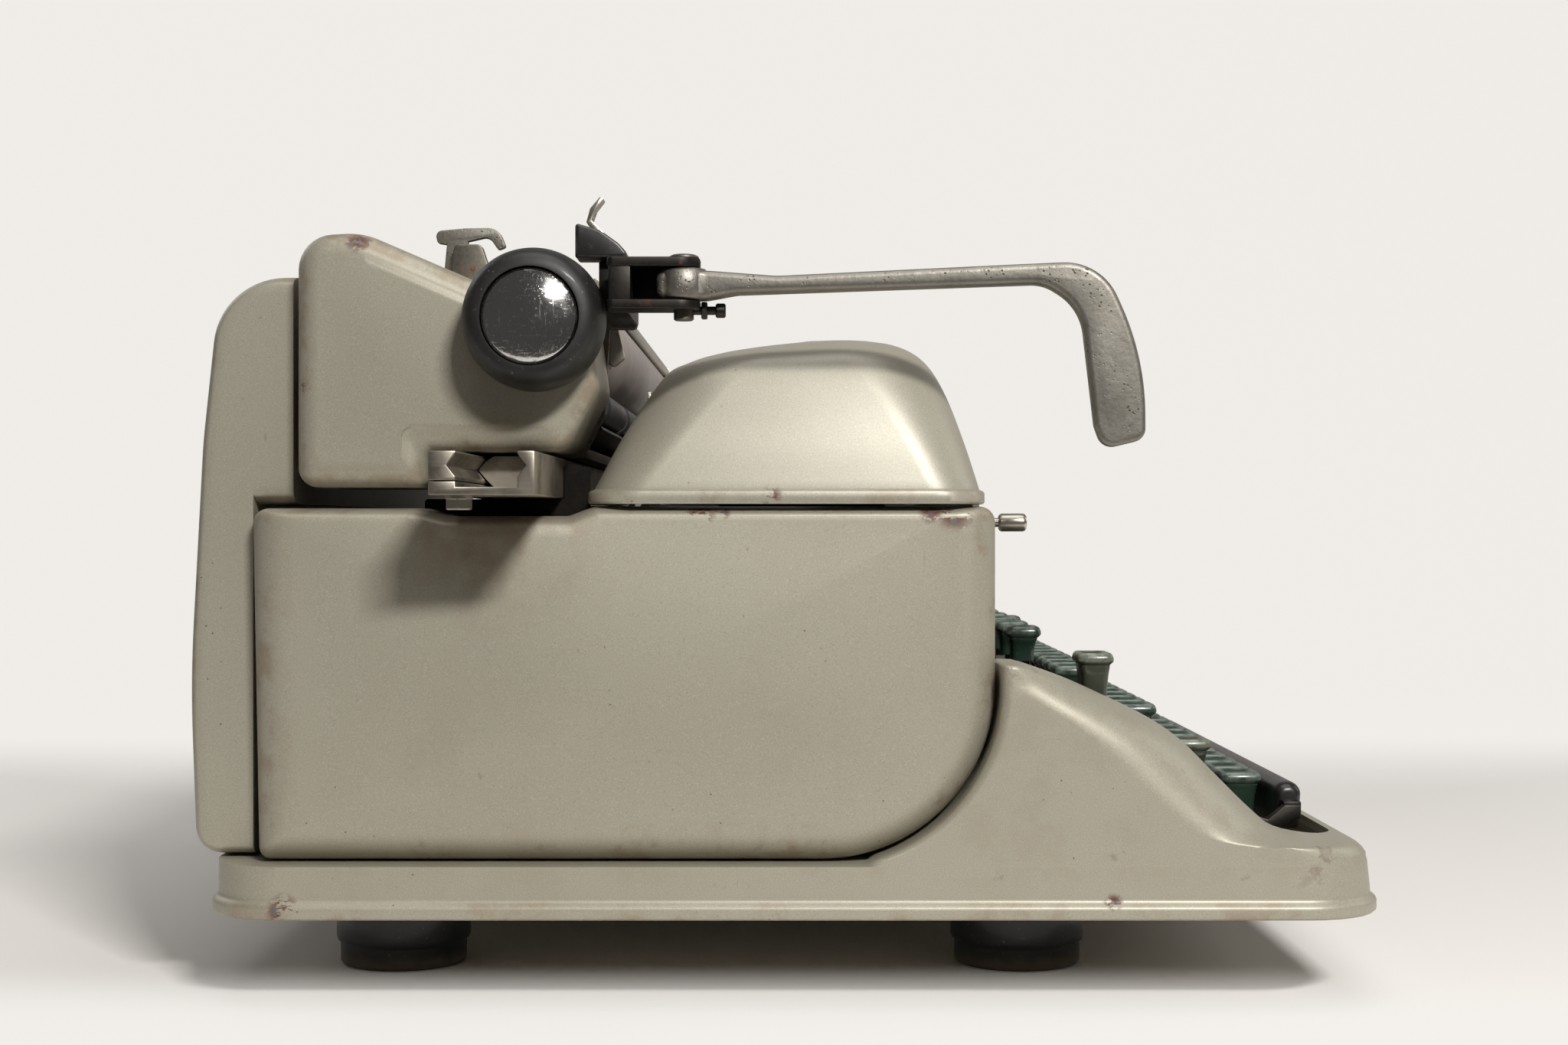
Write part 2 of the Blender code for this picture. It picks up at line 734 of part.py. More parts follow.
def make_rear_cover(machine):
    bottom = DECK_HEIGHT + GAP
    lap = SIDE_COVER_TOP + GAP + 0.4
    behind = SIDE_COVER_BACK + 1.0
    corners = [
        (REAR_COVER_FRONT, REAR_COVER_TOP, 3.0),
        (REAR_COVER_FRONT, lap, 0.0),
        (behind, lap, 0.0),
        (behind, bottom, 2.5),
        (REAR_COVER_BACK - 2.0, bottom, 9.0),
        (REAR_COVER_BACK, (bottom + lap) / 2, 150.0),
        (REAR_COVER_BACK - 4.0, lap + 20.0, 100.0),
        (REAR_COVER_BACK - 9.5, REAR_COVER_TOP, 23.0, 7),
    ]
    half = REAR_COVER_HALF_WIDTH
    edge = REAR_COVER_EDGE
    skin = []
    for degrees in (0, 35, 65, 90):
        turn = math.radians(degrees)
        outline = rounded(drawn_in(corners, edge * 0.3 * (1 - math.sin(turn))))
        skin.append((outline, -half + edge * (1 - math.cos(turn))))
    skin += [(outline, -place) for outline, place in reversed(skin)]
    cover = loft([[(place, across, along) for across, along in outline] for outline, place in skin])
    inner = half - COVER_WALL - 1.5
    hollow_outline = rounded(drawn_in(corners, COVER_WALL))
    hollow = loft([[(place, across, along) for across, along in hollow_outline] for place in (-inner, inner)])
    door = cuboid(
        (-inner + 6.0, behind - 5.0, bottom + 8.0),
        (inner - 6.0, behind + COVER_WALL + 2.0, lap - 12.0),
    )
    carve(cover, hollow, door)
    finish(cover, "rear_cover", PAINT, machine)


def make_ribbon_cover(hood):
    front = RIBBON_COVER_FRONT
    back = RIBBON_COVER_BACK
    low = HOOD_BOTTOM
    top = RIBBON_COVER_TOP
    rise = top - low
    wide = RIBBON_COVER_HALF_WIDTH
    levels = (
        (0.0, 0.0, 0.0, 0.0, 0.0),
        (0.075, 0.0, 0.075, 0.5, 0.0),
        (0.1, 1.6, 0.1, 1.8, 1.4),
        (0.35, 5.6, 0.35, 9.0, 4.2),
        (0.62, 10.6, 0.57, 16.0, 8.0),
        (0.81, 16.0, 0.76, 23.0, 13.0),
        (0.92, 23.0, 0.83, 28.5, 20.0),
        (0.98, 33.0, 0.90, 38.0, 33.0),
        (1.0, 52.0, 0.95, 56.0, 56.0),
    )
    rings = []
    for front_up, ahead, back_up, behind, aside in levels:
        first, last = front + ahead, back - behind
        ring = plan_ring(first, last, wide - aside, 16.0, 0.0, steps=4)
        lower, upper = low + rise * front_up, low + rise * back_up
        slope = (upper - lower) / (last - first)
        rings.append([(across, along, lower + (along - first) * slope) for across, along, _ in ring])
    cover = shell(loft(rings, open_start=True), COVER_WALL)
    half = RIBBON_COVER_NOTCH_HALF_WIDTH
    notch_front = RIBBON_COVER_NOTCH_FRONT
    notch = loft(
        [
            plan_ring(notch_front, back + 30.0, half, 8.0, low - 5.0),
            plan_ring(notch_front, back + 30.0, half, 8.0, top + 10.0),
        ]
    )
    reach = SIDE_COVER_INNER - 20.0
    groove = rod(
        (-reach - GAP, HINGE_Y, HINGE_Z),
        (reach + GAP, HINGE_Y, HINGE_Z),
        HINGE_PIN_RADIUS + GAP + 0.1,
        sides=12,
    )
    carve(cover, notch, groove)
    finish(cover, "ribbon_cover", PAINT, hood)


def make_hinge_pin(machine):
    reach = SIDE_COVER_INNER - 20.0
    pin = rod((-reach, HINGE_Y, HINGE_Z), (reach, HINGE_Y, HINGE_Z), HINGE_PIN_RADIUS, sides=12)
    finish(pin, "cover_hinge_pin", STEEL, machine)


def make_front_panel(machine):
    wide = SIDE_COVER_INNER - GAP
    top = HINGE_Z - HINGE_PIN_RADIUS - GAP
    outline = rounded(
        [
            (PANEL_FRONT, top, 1.5),
            (PANEL_FRONT, PANEL_BOTTOM, 1.5),
            (PANEL_FRONT + 8.0, PANEL_BOTTOM, 0.0),
            (PANEL_FRONT + 8.0, PANEL_BOTTOM + 2.0, 0.0),
            (PANEL_FRONT + 2.0, PANEL_BOTTOM + 2.0, 0.0),
            (PANEL_FRONT + 2.0, top - 2.0, 0.0),
            (PANEL_FRONT + 8.0, top - 2.0, 0.0),
            (PANEL_FRONT + 8.0, top, 0.0),
        ],
        steps=3,
    )
    panel = plate(outline, "X", -wide, wide)
    slot_z = SELECTOR_Z
    slot = cuboid(
        (SELECTOR_X - SELECTOR_TRAVEL - 2.2, PANEL_FRONT - 2.0, slot_z - 1.9),
        (SELECTOR_X + SELECTOR_TRAVEL + 2.2, PANEL_FRONT + 4.0, slot_z + 1.9),
    )
    carve(panel, slot)
    finish(panel, "front_panel", PAINT, machine)


def make_selector(selector):
    front = PANEL_FRONT
    stem = rod((SELECTOR_X, front + 6.0, SELECTOR_Z), (SELECTOR_X, front - 9.0, SELECTOR_Z), SELECTOR_STEM, 12)
    knob = rod((SELECTOR_X, front - 7.0, SELECTOR_Z), (SELECTOR_X, front - 16.2, SELECTOR_Z), SELECTOR_RADIUS, 16)
    arm = cuboid(
        (SELECTOR_X - 2.0, front + 2.0 + GAP, SELECTOR_Z - 14.0),
        (SELECTOR_X + 2.0, front + 4.0, SELECTOR_Z + 1.8),
    )
    lever = fuse([knob, stem, arm])
    finish(lever, "ribbon_selector", STEEL, selector)


def make_inner_frame(machine):
    outer = FRAME_HALF_WIDTH
    inner = outer - FRAME_PLATE
    low = FRAME_BOTTOM
    side_outline = [
        (FRAME_BACK, low),
        (FRAME_BACK, FRAME_TOP),
        (RAIL_BACK + 14.0, FRAME_TOP),
        (RAIL_BACK + 14.0, RAIL_BOTTOM - GAP),
        (RAIL_FRONT - GAP, RAIL_BOTTOM - GAP),
        (RAIL_FRONT - GAP, RAIL_TOP - 1.0),
        (RAIL_FRONT - 8.5, RAIL_TOP - 3.0),
        (RAIL_FRONT - 8.5, FRAME_TOP),
        (FRAME_FRONT, FRAME_TOP),
        (FRAME_FRONT, 100.0),
        (-10.0, 74.0),
        (-10.0, low),
    ]
    pieces = []
    for sign in SIDES.values():
        span = sorted((sign * inner, sign * outer))
        side = plate(side_outline, "X", *span)
        window = cuboid((sign * inner - 6.0, 14.0, 66.0), (sign * inner + 6.0, 84.0, 134.0))
        carve(side, window)
        pieces.append(side)
    reach = outer - FRAME_PLATE / 2
    pieces.append(cuboid((-reach, FRAME_BACK - 5.0, low + 1.0), (reach, FRAME_BACK - 1.0, low + 14.0)))
    pieces.append(cuboid((-reach, RAIL_FRONT + 6.0, FRAME_TOP - 8.0), (reach, RAIL_BACK - 8.0, FRAME_TOP - 1.0)))
    pieces.append(cuboid((-reach, -8.0, low + 1.0), (reach, -2.0, low + 5.0)))
    pieces.append(rod((-reach, KEY_ROD_Y, KEY_ROD_Z), (reach, KEY_ROD_Y, KEY_ROD_Z), KEY_ROD_RADIUS, 12))
    pieces.append(
        rod((-reach, FUNCTION_ROD_Y, FUNCTION_ROD_Z), (reach, FUNCTION_ROD_Y, FUNCTION_ROD_Z), KEY_ROD_RADIUS, 12)
    )
    for sign in SIDES.values():
        span = sorted((sign * reach, sign * (SPOOL_X - CUP_RADIUS)))
        pieces.append(
            cuboid((span[0], SPOOL_Y - CUP_RADIUS, FRAME_TOP - 3.0), (span[1], SPOOL_Y + CUP_RADIUS, FRAME_TOP - 0.5))
        )
        pieces.append(
            cuboid(
                (sign * 60.0 - 3.0, TYPE_PIVOT_Y + 9.5, TYPE_PIVOT_Z - 6.0),
                (sign * 60.0 + 3.0, RAIL_FRONT + 8.0, FRAME_TOP - 2.0),
            )
        )
    pieces.append(
        cuboid((-63.0, TYPE_PIVOT_Y + 9.5, TYPE_PIVOT_Z - 6.0), (63.0, TYPE_PIVOT_Y + 13.5, TYPE_PIVOT_Z + 6.0))
    )
    pieces += [spool_cup(sign) for sign in SIDES.values()]
    drum_back = DRUM_Y + DRUM_DEPTH / 2 + 3.0 + GAP
    pieces.append(cuboid((-reach, drum_back, DRUM_Z - 6.0), (DRUM_X + 6.0, drum_back + 3.0, DRUM_Z + 6.0)))
    drum_front = DRUM_Y - DRUM_DEPTH / 2 - 1.0
    pieces.append(
        rod((DRUM_X, drum_front, DRUM_Z), (DRUM_X, drum_back + 1.0, DRUM_Z), DRUM_AXLE_RADIUS, 10)
    )
    pieces.append(
        rod(
            (0.0, RAIL_BACK - 10.0, ESCAPEMENT_Z),
            (0.0, ESCAPEMENT_Y + 6.0, ESCAPEMENT_Z),
            ESCAPEMENT_AXLE_RADIUS,
            10,
        )
    )
    pieces.append(
        cuboid((BELL_X - 4.0, BELL_Y - 4.0, BELL_TAB_TOP - 3.0), (BELL_X + 4.0, FRAME_BACK - 3.0, BELL_TAB_TOP))
    )
    finish(fuse(pieces), "inner_frame", DARK_STEEL, machine)


def groove_points(face, sign):
    """A V groove in an upright face: mouth, apex, mouth."""
    half = GROOVE_HEIGHT / 2
    return [
        (face, GROOVE_CENTRE - half),
        (face + sign * GROOVE_DEPTH, GROOVE_CENTRE),
        (face, GROOVE_CENTRE + half),
    ]


def make_rails(machine):
    half = RAIL_LENGTH / 2
    front_face = RAIL_FRONT + RAIL_UPRIGHT
    back_face = RAIL_BACK - RAIL_BLOCK
    bed = RAIL_BOTTOM + RAIL_BED
    ledge = RAIL_BOTTOM + RAIL_LEDGE
    channel = [
        (RAIL_FRONT, RAIL_BOTTOM),
        (RAIL_BACK, RAIL_BOTTOM),
        (RAIL_BACK, ledge),
        (back_face, ledge),
        (back_face, bed),
        (front_face, bed),
        *groove_points(front_face, -1),
        (front_face, RAIL_TOP),
        (RAIL_FRONT, RAIL_TOP),
    ]
    pieces = [plate(channel, "X", -half, half)]
    for sign in SIDES.values():
        place = (sign * (half - 9.0), RAIL_BACK - 7.5)
        pieces.append(rod((*place, RAIL_BOTTOM - 4.2), (*place, RAIL_BOTTOM + 1.0), 4.0, 6))
    finish(fuse(pieces), "rail_channel", STEEL, machine, smooth=False)
    block = [
        (RAIL_BACK, ledge + GAP),
        (RAIL_BACK, RAIL_TOP),
        (back_face, RAIL_TOP),
        *reversed(groove_points(back_face, 1)),
        (back_face, ledge + GAP),
    ]
    finish(plate(block, "X", -half, half), "rear_rail", STEEL, machine, smooth=False)


def carriage_x(offset):
    """An X place on the carriage, counted from the carriage's middle."""
    return CARRIAGE_SHIFT + offset


def make_moving_rail(carriage):
    front_face = RAIL_FRONT + RAIL_UPRIGHT + GAP + 0.1
    back_face = RAIL_BACK - RAIL_BLOCK - GAP - 0.1
    tip = GROOVE_DEPTH - 0.2
    half = GROOVE_HEIGHT / 2 - GAP
    outline = [
        (front_face, GROOVE_CENTRE - half),
        (front_face + 2.5, RAIL_BOTTOM + RAIL_BED + 0.8),
        (back_face - 2.5, RAIL_BOTTOM + RAIL_BED + 0.8),
        (back_face, GROOVE_CENTRE - half),
        (back_face + tip, GROOVE_CENTRE),
        (back_face, GROOVE_CENTRE + half),
        (back_face - 2.5, RAIL_TOP + 0.2),
        (front_face + 2.5, RAIL_TOP + 0.2),
        (front_face, GROOVE_CENTRE + half),
        (front_face - tip, GROOVE_CENTRE),
    ]
    bar = plate(outline, "X", carriage_x(-PLATE_OFFSET - 40.0), carriage_x(PLATE_OFFSET + 40.0))
    finish(bar, "moving_rail", STEEL, carriage, smooth=False)


def end_cover_corners():
    return [
        (END_COVER_BACK, END_COVER_TOP - 1.0, 14.0),
        (END_COVER_BACK - END_COVER_CREST * (END_COVER_TOP - PLATEN_Z), END_COVER_TOP, 22.0),
        (PLATEN_Y + 4.0, PLATEN_Z + 6.5, 4.0),
        (END_COVER_FRONT + 3.5, PLATEN_Z + 6.5, 7.0),
        (END_COVER_FRONT, PLATEN_Z - 20.0, 6.0),
        (END_COVER_FRONT + 10.0, END_COVER_BOTTOM, 7.0),
        (END_COVER_STEP_Y, END_COVER_BOTTOM, 3.0),
        (END_COVER_STEP_Y, END_COVER_LOW, 3.0),
        (END_COVER_BACK, END_COVER_LOW, 6.0),
    ]


def make_carriage_bed(carriage):
    bottom = RAIL_TOP + 0.5
    top = bottom + BED_THICKNESS
    nose_low = FORK_BOTTOM
    nose_high = LEVER_TOP + 2.8
    nose = [
        (PLATEN_Y - 10.0, nose_high),
        (LEVER_Y + 18.2, nose_high),
        (LEVER_Y + 18.2, nose_low),
        (END_COVER_FRONT, nose_low),
    ]
    front = {-1: nose, 1: [(PLATEN_Y - 10.0, nose_high), (END_COVER_FRONT, nose_low)]}
    behind = [
        (END_COVER_BACK - 4.0, END_COVER_TOP - 12.0),
        (PLATEN_Y + 34.0, END_COVER_TOP - 10.0),
        (PLATEN_Y + 33.0, END_COVER_TOP + 2.0),
        (PLATEN_Y + 24.0, END_COVER_TOP + 2.0),
        (PLATEN_Y + 20.0, PLATEN_Z + 18.0),
    ]
    below = [
        (END_COVER_FRONT + 1.8, PLATEN_Z - 26.0),
        (END_COVER_FRONT + 9.0, bottom),
        (END_COVER_STEP_Y, bottom),
        (END_COVER_STEP_Y + 3.0, END_COVER_LOW + 3.0),
        (END_COVER_BACK - 4.0, END_COVER_LOW + 3.0),
    ]
    pieces = []
    for sign in SIDES.values():
        span = sorted((carriage_x(sign * PLATE_OFFSET), carriage_x(sign * (PLATE_OFFSET + END_PLATE))))
        side = plate(behind + front[sign] + below, "X", *span)
        bore = rod(
            (span[0] - 2.0, PLATEN_Y, PLATEN_Z),
            (span[1] + 2.0, PLATEN_Y, PLATEN_Z),
            PLATEN_SHAFT_RADIUS + 0.5,
            20,
        )
        carve(side, bore)
        pieces.append(side)
    left = carriage_x(-PLATE_OFFSET - END_PLATE / 2)
    right = carriage_x(PLATE_OFFSET + END_PLATE / 2)
    pieces.append(cuboid((left, END_COVER_FRONT + 8.0, bottom + 0.2), (right, END_COVER_STEP_Y - 2.0, top)))
    pieces.append(
        cuboid((left, ESCAPEMENT_Y - 2.0, RACK_TEETH_BOTTOM), (right, ESCAPEMENT_Y + 2.0, bottom + 2.0))
    )
    pieces.append(
        cuboid((left, END_COVER_BACK - 9.0, END_COVER_LOW + 4.0), (right, END_COVER_BACK - 7.0, RACK_Z + 12.0))
    )
    finish(fuse(pieces), "carriage_frame", DARK_STEEL, carriage)


def make_end_covers(carriage):
    middle = (END_COVER_STEP_Y + 12.0, (END_COVER_LOW + END_COVER_TOP) / 2)
    corners = end_cover_corners()
    face = FACE_OFFSET - END_COVER_CROWN
    for side, sign in SIDES.items():
        skin = crowned(
            corners,
            middle,
            carriage_x(sign * COVER_OFFSET),
            carriage_x(sign * face),
            END_COVER_EDGE,
            END_COVER_CROWN,
        )
        inside = crowned(
            drawn_in(corners, COVER_WALL),
            middle,
            carriage_x(sign * (COVER_OFFSET - 4.0)),
            carriage_x(sign * (face - COVER_WALL)),
            END_COVER_EDGE - COVER_WALL,
            END_COVER_CROWN,
        )
        cover = loft(skin)
        bore = rod(
            (carriage_x(sign * (COVER_OFFSET + 10.0)), PLATEN_Y, PLATEN_Z),
            (carriage_x(sign * (FACE_OFFSET + 10.0)), PLATEN_Y, PLATEN_Z),
            PLATEN_SHAFT_RADIUS + 0.8,
            20,
        )
        carve(cover, loft(inside), bore)
        finish(cover, f"end_cover_{side}", PAINT, carriage)


def make_platen(platen):
    half = PLATEN_LENGTH / 2
    end = KNOB_OFFSET + KNOB_LENGTH - 6.0
    shaft = PLATEN_SHAFT_RADIUS
    profile = [
        (0.0, end),
        (shaft, end),
        (shaft, half),
        (PLATEN_RADIUS, half),
        (PLATEN_RADIUS, -half),
        (shaft, -half),
        (shaft, -end),
        (0.0, -end),
    ]
    roller = turned(profile, (carriage_x(0.0), PLATEN_Y, PLATEN_Z), (1, 0, 0), steps=28)
    finish(roller, "platen", RUBBER, platen)


def make_knobs(platen):
    bore = PLATEN_SHAFT_RADIUS + GAP
    seat = KNOB_LENGTH - 4.0
    for side, sign in SIDES.items():
        centre = (carriage_x(sign * KNOB_OFFSET), PLATEN_Y, PLATEN_Z)
        cap_seat = KNOB_CAP_RADIUS + GAP
        profile = [
            (bore, seat),
            (cap_seat, seat),
            (cap_seat, KNOB_LENGTH),
            (KNOB_RADIUS - 4.6, KNOB_LENGTH - 0.8),
            (KNOB_RADIUS - 2.0, KNOB_LENGTH - 4.0),
            (KNOB_RADIUS, 5.0),
            (KNOB_RADIUS - 1.2, 0.0),
            (bore, 0.0),
            (bore, seat),
        ]
        knob = turned(profile, centre, (sign, 0, 0), steps=28)
        finish(knob, f"platen_knob_{side}", BAKELITE, platen)
        rise = KNOB_CAP_RISE
        cap_profile = [(0.0, KNOB_LENGTH + rise)]
        for share in (0.45, 0.8):
            cap_profile.append((KNOB_CAP_RADIUS * share, KNOB_LENGTH + rise * (1 - share**2)))
        cap_profile += [
            (KNOB_CAP_RADIUS, KNOB_LENGTH - 0.6),
            (KNOB_CAP_RADIUS, seat + GAP),
            (0.0, seat + GAP),
        ]
        cap = turned(cap_profile, centre, (sign, 0, 0), steps=24)
        finish(cap, f"knob_cap_{side}", CHROME, platen)


def feed_roller_centre(sign):
    reach = PLATEN_RADIUS + FEED_ROLLER_RADIUS + GAP
    angle = math.radians(FEED_ROLLER_ANGLE)
    return PLATEN_Y + sign * reach * math.sin(angle), PLATEN_Z - reach * math.cos(angle)


def make_feed_rollers(rollers):
    for (name, roller), sign in zip(rollers.items(), (-1, 1)):
        place, height = feed_roller_centre(sign)
        half = PLATEN_LENGTH / 2 - 6.0
        end = PLATE_OFFSET - GAP
        profile = [
            (0.0, end),
            (2.5, end),
            (2.5, half),
            (FEED_ROLLER_RADIUS, half),
            (FEED_ROLLER_RADIUS, -half),
            (2.5, -half),
            (2.5, -end),
            (0.0, -end),
        ]
        made = turned(profile, (carriage_x(0.0), place, height), (1, 0, 0), steps=12)
        finish(made, name, RUBBER, roller)


def make_paper_parts(carriage):
    half = PLATE_OFFSET - GAP
    start = (PLATEN_Y + PLATEN_RADIUS + 6.0, PLATEN_Z - 10.0)
    bend = (PLATEN_Y + PLATEN_RADIUS + 10.0, PLATEN_Z + 8.0)
    end = (END_COVER_BACK - 16.0, PAPER_TABLE_TOP - 3.0)
    table = [
        start,
        bend,
        end,
        (end[0] + 0.9, end[1] - 1.3),
        (bend[0] + 1.3, bend[1] - 0.8),
        (start[0] + 1.5, start[1]),
    ]
    finish(
        plate(table, "X", carriage_x(-half), carriage_x(half)), "paper_table", DARK_STEEL, carriage, smooth=False
    )
    radius = PLATEN_RADIUS + 2 * FEED_ROLLER_RADIUS + 2.0
    outer, inner = [], []
    for step in range(8):
        angle = math.radians(-90 - FEED_ROLLER_ANGLE + step * 11)
        outer.append((PLATEN_Y + (radius + 1.2) * math.cos(angle), PLATEN_Z + (radius + 1.2) * math.sin(angle)))
        inner.append((PLATEN_Y + radius * math.cos(angle), PLATEN_Z + radius * math.sin(angle)))
    pan = plate(outer + inner[::-1], "X", carriage_x(-half), carriage_x(half))
    finish(pan, "paper_pan", DARK_STEEL, carriage)


def make_margin_parts(carriage, stops):
    half = PLATE_OFFSET - GAP
    rack = cuboid((carriage_x(-half), RACK_Y - 1.5, RACK_Z - 5.0), (carriage_x(half), RACK_Y + 1.5, RACK_Z + 5.0))
    finish(rack, "margin_rack", STEEL, carriage, smooth=False)
    for (name, stop), sign in zip(stops.items(), (-1, 1)):
        middle = carriage_x(sign * MARGIN_STOP_X)
        block = cuboid((middle - 6.0, RACK_Y - 5.0, RACK_Z - 8.0), (middle + 6.0, RACK_Y + 5.0, RACK_Z + 8.0))
        slot = cuboid(
            (middle - 9.0, RACK_Y - 1.5 - GAP, RACK_Z - 5.0 - GAP),
            (middle + 9.0, RACK_Y + 1.5 + GAP, RACK_Z + 5.0 + GAP),
        )
        carve(block, slot)
        tab = cuboid((middle - 2.0, RACK_Y - 3.0, RACK_Z + 7.0), (middle + 2.0, RACK_Y - 1.0, RACK_Z + 24.0))
        finish(fuse([block, tab]), name, STEEL, stop, smooth=False)


def fork_span():
    return LEVER_X - FORK_WIDTH / 2, LEVER_X + FORK_WIDTH / 2


def make_lever_bracket(carriage):
    low, high = fork_span()
    rear = LEVER_Y + FORK_REACH
    front = LEVER_Y - 5.0
    top = LEVER_TOP + GAP
    upper = rounded(
        [
            (low, rear, 2.0),
            (high, rear, 2.0),
            (high, front + 4.0, 6.0),
            (high - 4.0, front, 3.0),
            (low + 4.0, front, 3.0),
            (low, front + 4.0, 6.0),
        ],
        steps=3,
    )
    bottom = FORK_BOTTOM
    pieces = [
        plate(upper, "Z", top, top + FORK_PLATE),
        plate(upper, "Z", bottom, bottom + FORK_PLATE),
    ]
    hole = rod(
        (LEVER_X, LEVER_Y, bottom - 5.0),
        (LEVER_X, LEVER_Y, top + FORK_PLATE + 5.0),
        LEVER_PIN_RADIUS + GAP,
        16,
    )
    web = LEVER_Y + 15.5
    inner = carriage_x(-PLATE_OFFSET - END_PLATE) - GAP
    pieces.append(cuboid((low + 0.5, web, bottom + 0.6), (high - 0.5, rear - 0.5, top + FORK_PLATE - 0.6)))
    pieces.append(cuboid((high - 4.0, web + 1.0, bottom + 3.5), (high + 8.0, rear - 1.0, top - 0.5)))
    pieces.append(cuboid((high + 6.0, web + 2.2, bottom + 1.0), (inner, rear + 4.0, WEDGE_BOTTOM - GAP)))
    bracket = fuse(pieces)
    carve(bracket, hole)
    finish(bracket, "lever_bracket", DARK_STEEL, carriage)
    pin = turned(
        [
            (0.0, top + FORK_PLATE + 1.4),
            (LEVER_PIN_RADIUS + 1.6, top + FORK_PLATE + 1.4),
            (LEVER_PIN_RADIUS + 1.6, top + FORK_PLATE + GAP),
            (LEVER_PIN_RADIUS, top + FORK_PLATE + GAP),
            (LEVER_PIN_RADIUS, bottom - 3.0),
            (0.0, bottom - 3.0),
        ],
        (LEVER_X, LEVER_Y, 0.0),
        (0, 0, 1),
        steps=16,
    )
    finish(pin, "lever_pivot_pin", STEEL, carriage)


def make_return_lever(lever):
    """A flat arm that leaves its root forwards and turns down into a broad grip."""
    top = LEVER_TOP
    floor = FORK_BOTTOM + FORK_PLATE + GAP
    bottom = LEVER_GRIP_BOTTOM
    reach = LEVER_REACH
    outline = rounded(
        [
            (12.5, top - 0.8, 1.5),
            (12.5, floor, 1.5),
            (-6.0, floor, 3.0),
            (-20.0, top - 6.6, 20.0),
            (-reach + 31.0, top - 5.0, 12.0),
            (-reach + 20.0, top - 12.0, 16.0),
            (-reach + 16.0, bottom + 7.0, 5.0),
            (-reach + 13.5, bottom, 4.5),
            (-reach + 1.0, bottom + 3.0, 4.0),
            (-reach + 1.5, top - 26.0, 30.0),
            (-reach + 14.0, top + 1.6, 17.0),
            (-reach + 40.0, top + 0.6, 30.0),
            (-28.0, top - 2.4, 30.0),
            (-8.0, top - 0.8, 8.0),
        ]
    )
    arm = plate(outline, "X", -LEVER_WIDTH / 2, LEVER_WIDTH / 2)
    for vertex in arm.data.vertices:
        along = -vertex.co.y / MM
        lowered = max(0.0, (top - 16.0) - vertex.co.z / MM)
        share = 1.0 - 0.22 * min(max(along - 12.0, 0.0) / 60.0, 1.0) - 0.006 * min(lowered, 30.0)
        vertex.co.x *= share
    hub = rod((0.0, 0.0, floor), (0.0, 0.0, top), 7.4, 20)
    arm.data.transform(Matrix.Rotation(math.radians(-LEVER_OUTWARD), 4, "Z"))
    made = fuse([arm, hub])
    hole = rod((0.0, 0.0, floor - 5.0), (0.0, 0.0, top + 5.0), LEVER_PIN_RADIUS + GAP, 16)
    carve(made, hole)
    made.data.transform(Matrix.Translation(Vector((LEVER_X, LEVER_Y, 0.0)) * MM))
    finish(made, "return_lever", CAST, lever)


def make_release_wedge(wedge):
    low = LEVER_X + 8.5
    outline = [
        (WEDGE_BACK, WEDGE_BOTTOM),
        (WEDGE_BACK - WEDGE_LENGTH, WEDGE_BOTTOM),
        (WEDGE_BACK - WEDGE_LENGTH * 0.78, WEDGE_BOTTOM + 4.4),
        (WEDGE_BACK - WEDGE_LENGTH * 0.45, WEDGE_TOP - 2.2),
        (WEDGE_BACK, WEDGE_TOP),
    ]
    made = plate(outline, "X", low, low + WEDGE_WIDTH)
    finish(made, "carriage_release", BAKELITE, wedge, smooth=False)


def make_line_space_selector(selector):
    strip = [
        (SPACING_LEVER_Y + 0.6, WEDGE_BOTTOM),
        (SPACING_LEVER_Y - 0.6, WEDGE_BOTTOM),
        (SPACING_LEVER_Y - 1.4, WEDGE_BOTTOM + 3.6),
        (57.2, WEDGE_TOP + 1.0),
        (60.8, WEDGE_TOP + 4.6),
        (59.6, WEDGE_TOP + 8.0),
        (57.0, WEDGE_TOP + 11.4),
        (58.2, WEDGE_TOP + 12.2),
        (61.4, WEDGE_TOP + 8.4),
        (62.6, WEDGE_TOP + 4.0),
        (59.0, WEDGE_TOP),
        (SPACING_LEVER_Y + 1.4, WEDGE_BOTTOM + 3.6),
    ]
    made = plate(strip, "X", SPACING_LEVER_X, SPACING_LEVER_X + 7.0)
    finish(made, "line_space_selector", STEEL, selector, smooth=False)


def make_paper_release(release):
    low = carriage_x(-PLATE_OFFSET) + GAP
    y, z = PAPER_RELEASE_Y, PAPER_RELEASE_Z
    outline = rounded(
        [
            (y + 8.0, z + 7.5, 2.0),
            (y + 7.0, z + 3.5, 1.0),
            (y + 4.0, z + 3.0, 0.0),
            (y + 5.0, z - 8.0, 1.5),
            (y - 4.0, z - 8.0, 1.5),
            (y - 3.0, z + 4.0, 0.0),
            (y - 10.0, z + 5.6, 3.0),
            (y - 13.0, z + 1.2, 0.8),
            (y - 15.6, z + 2.2, 0.8),
            (y - 13.0, z + 8.6, 5.0),
            (y - 2.0, z + 8.4, 8.0),
        ],
        steps=3,
    )
    made = plate(outline, "X", low, low + 3.0)
    finish(made, "paper_release", CAST, release)


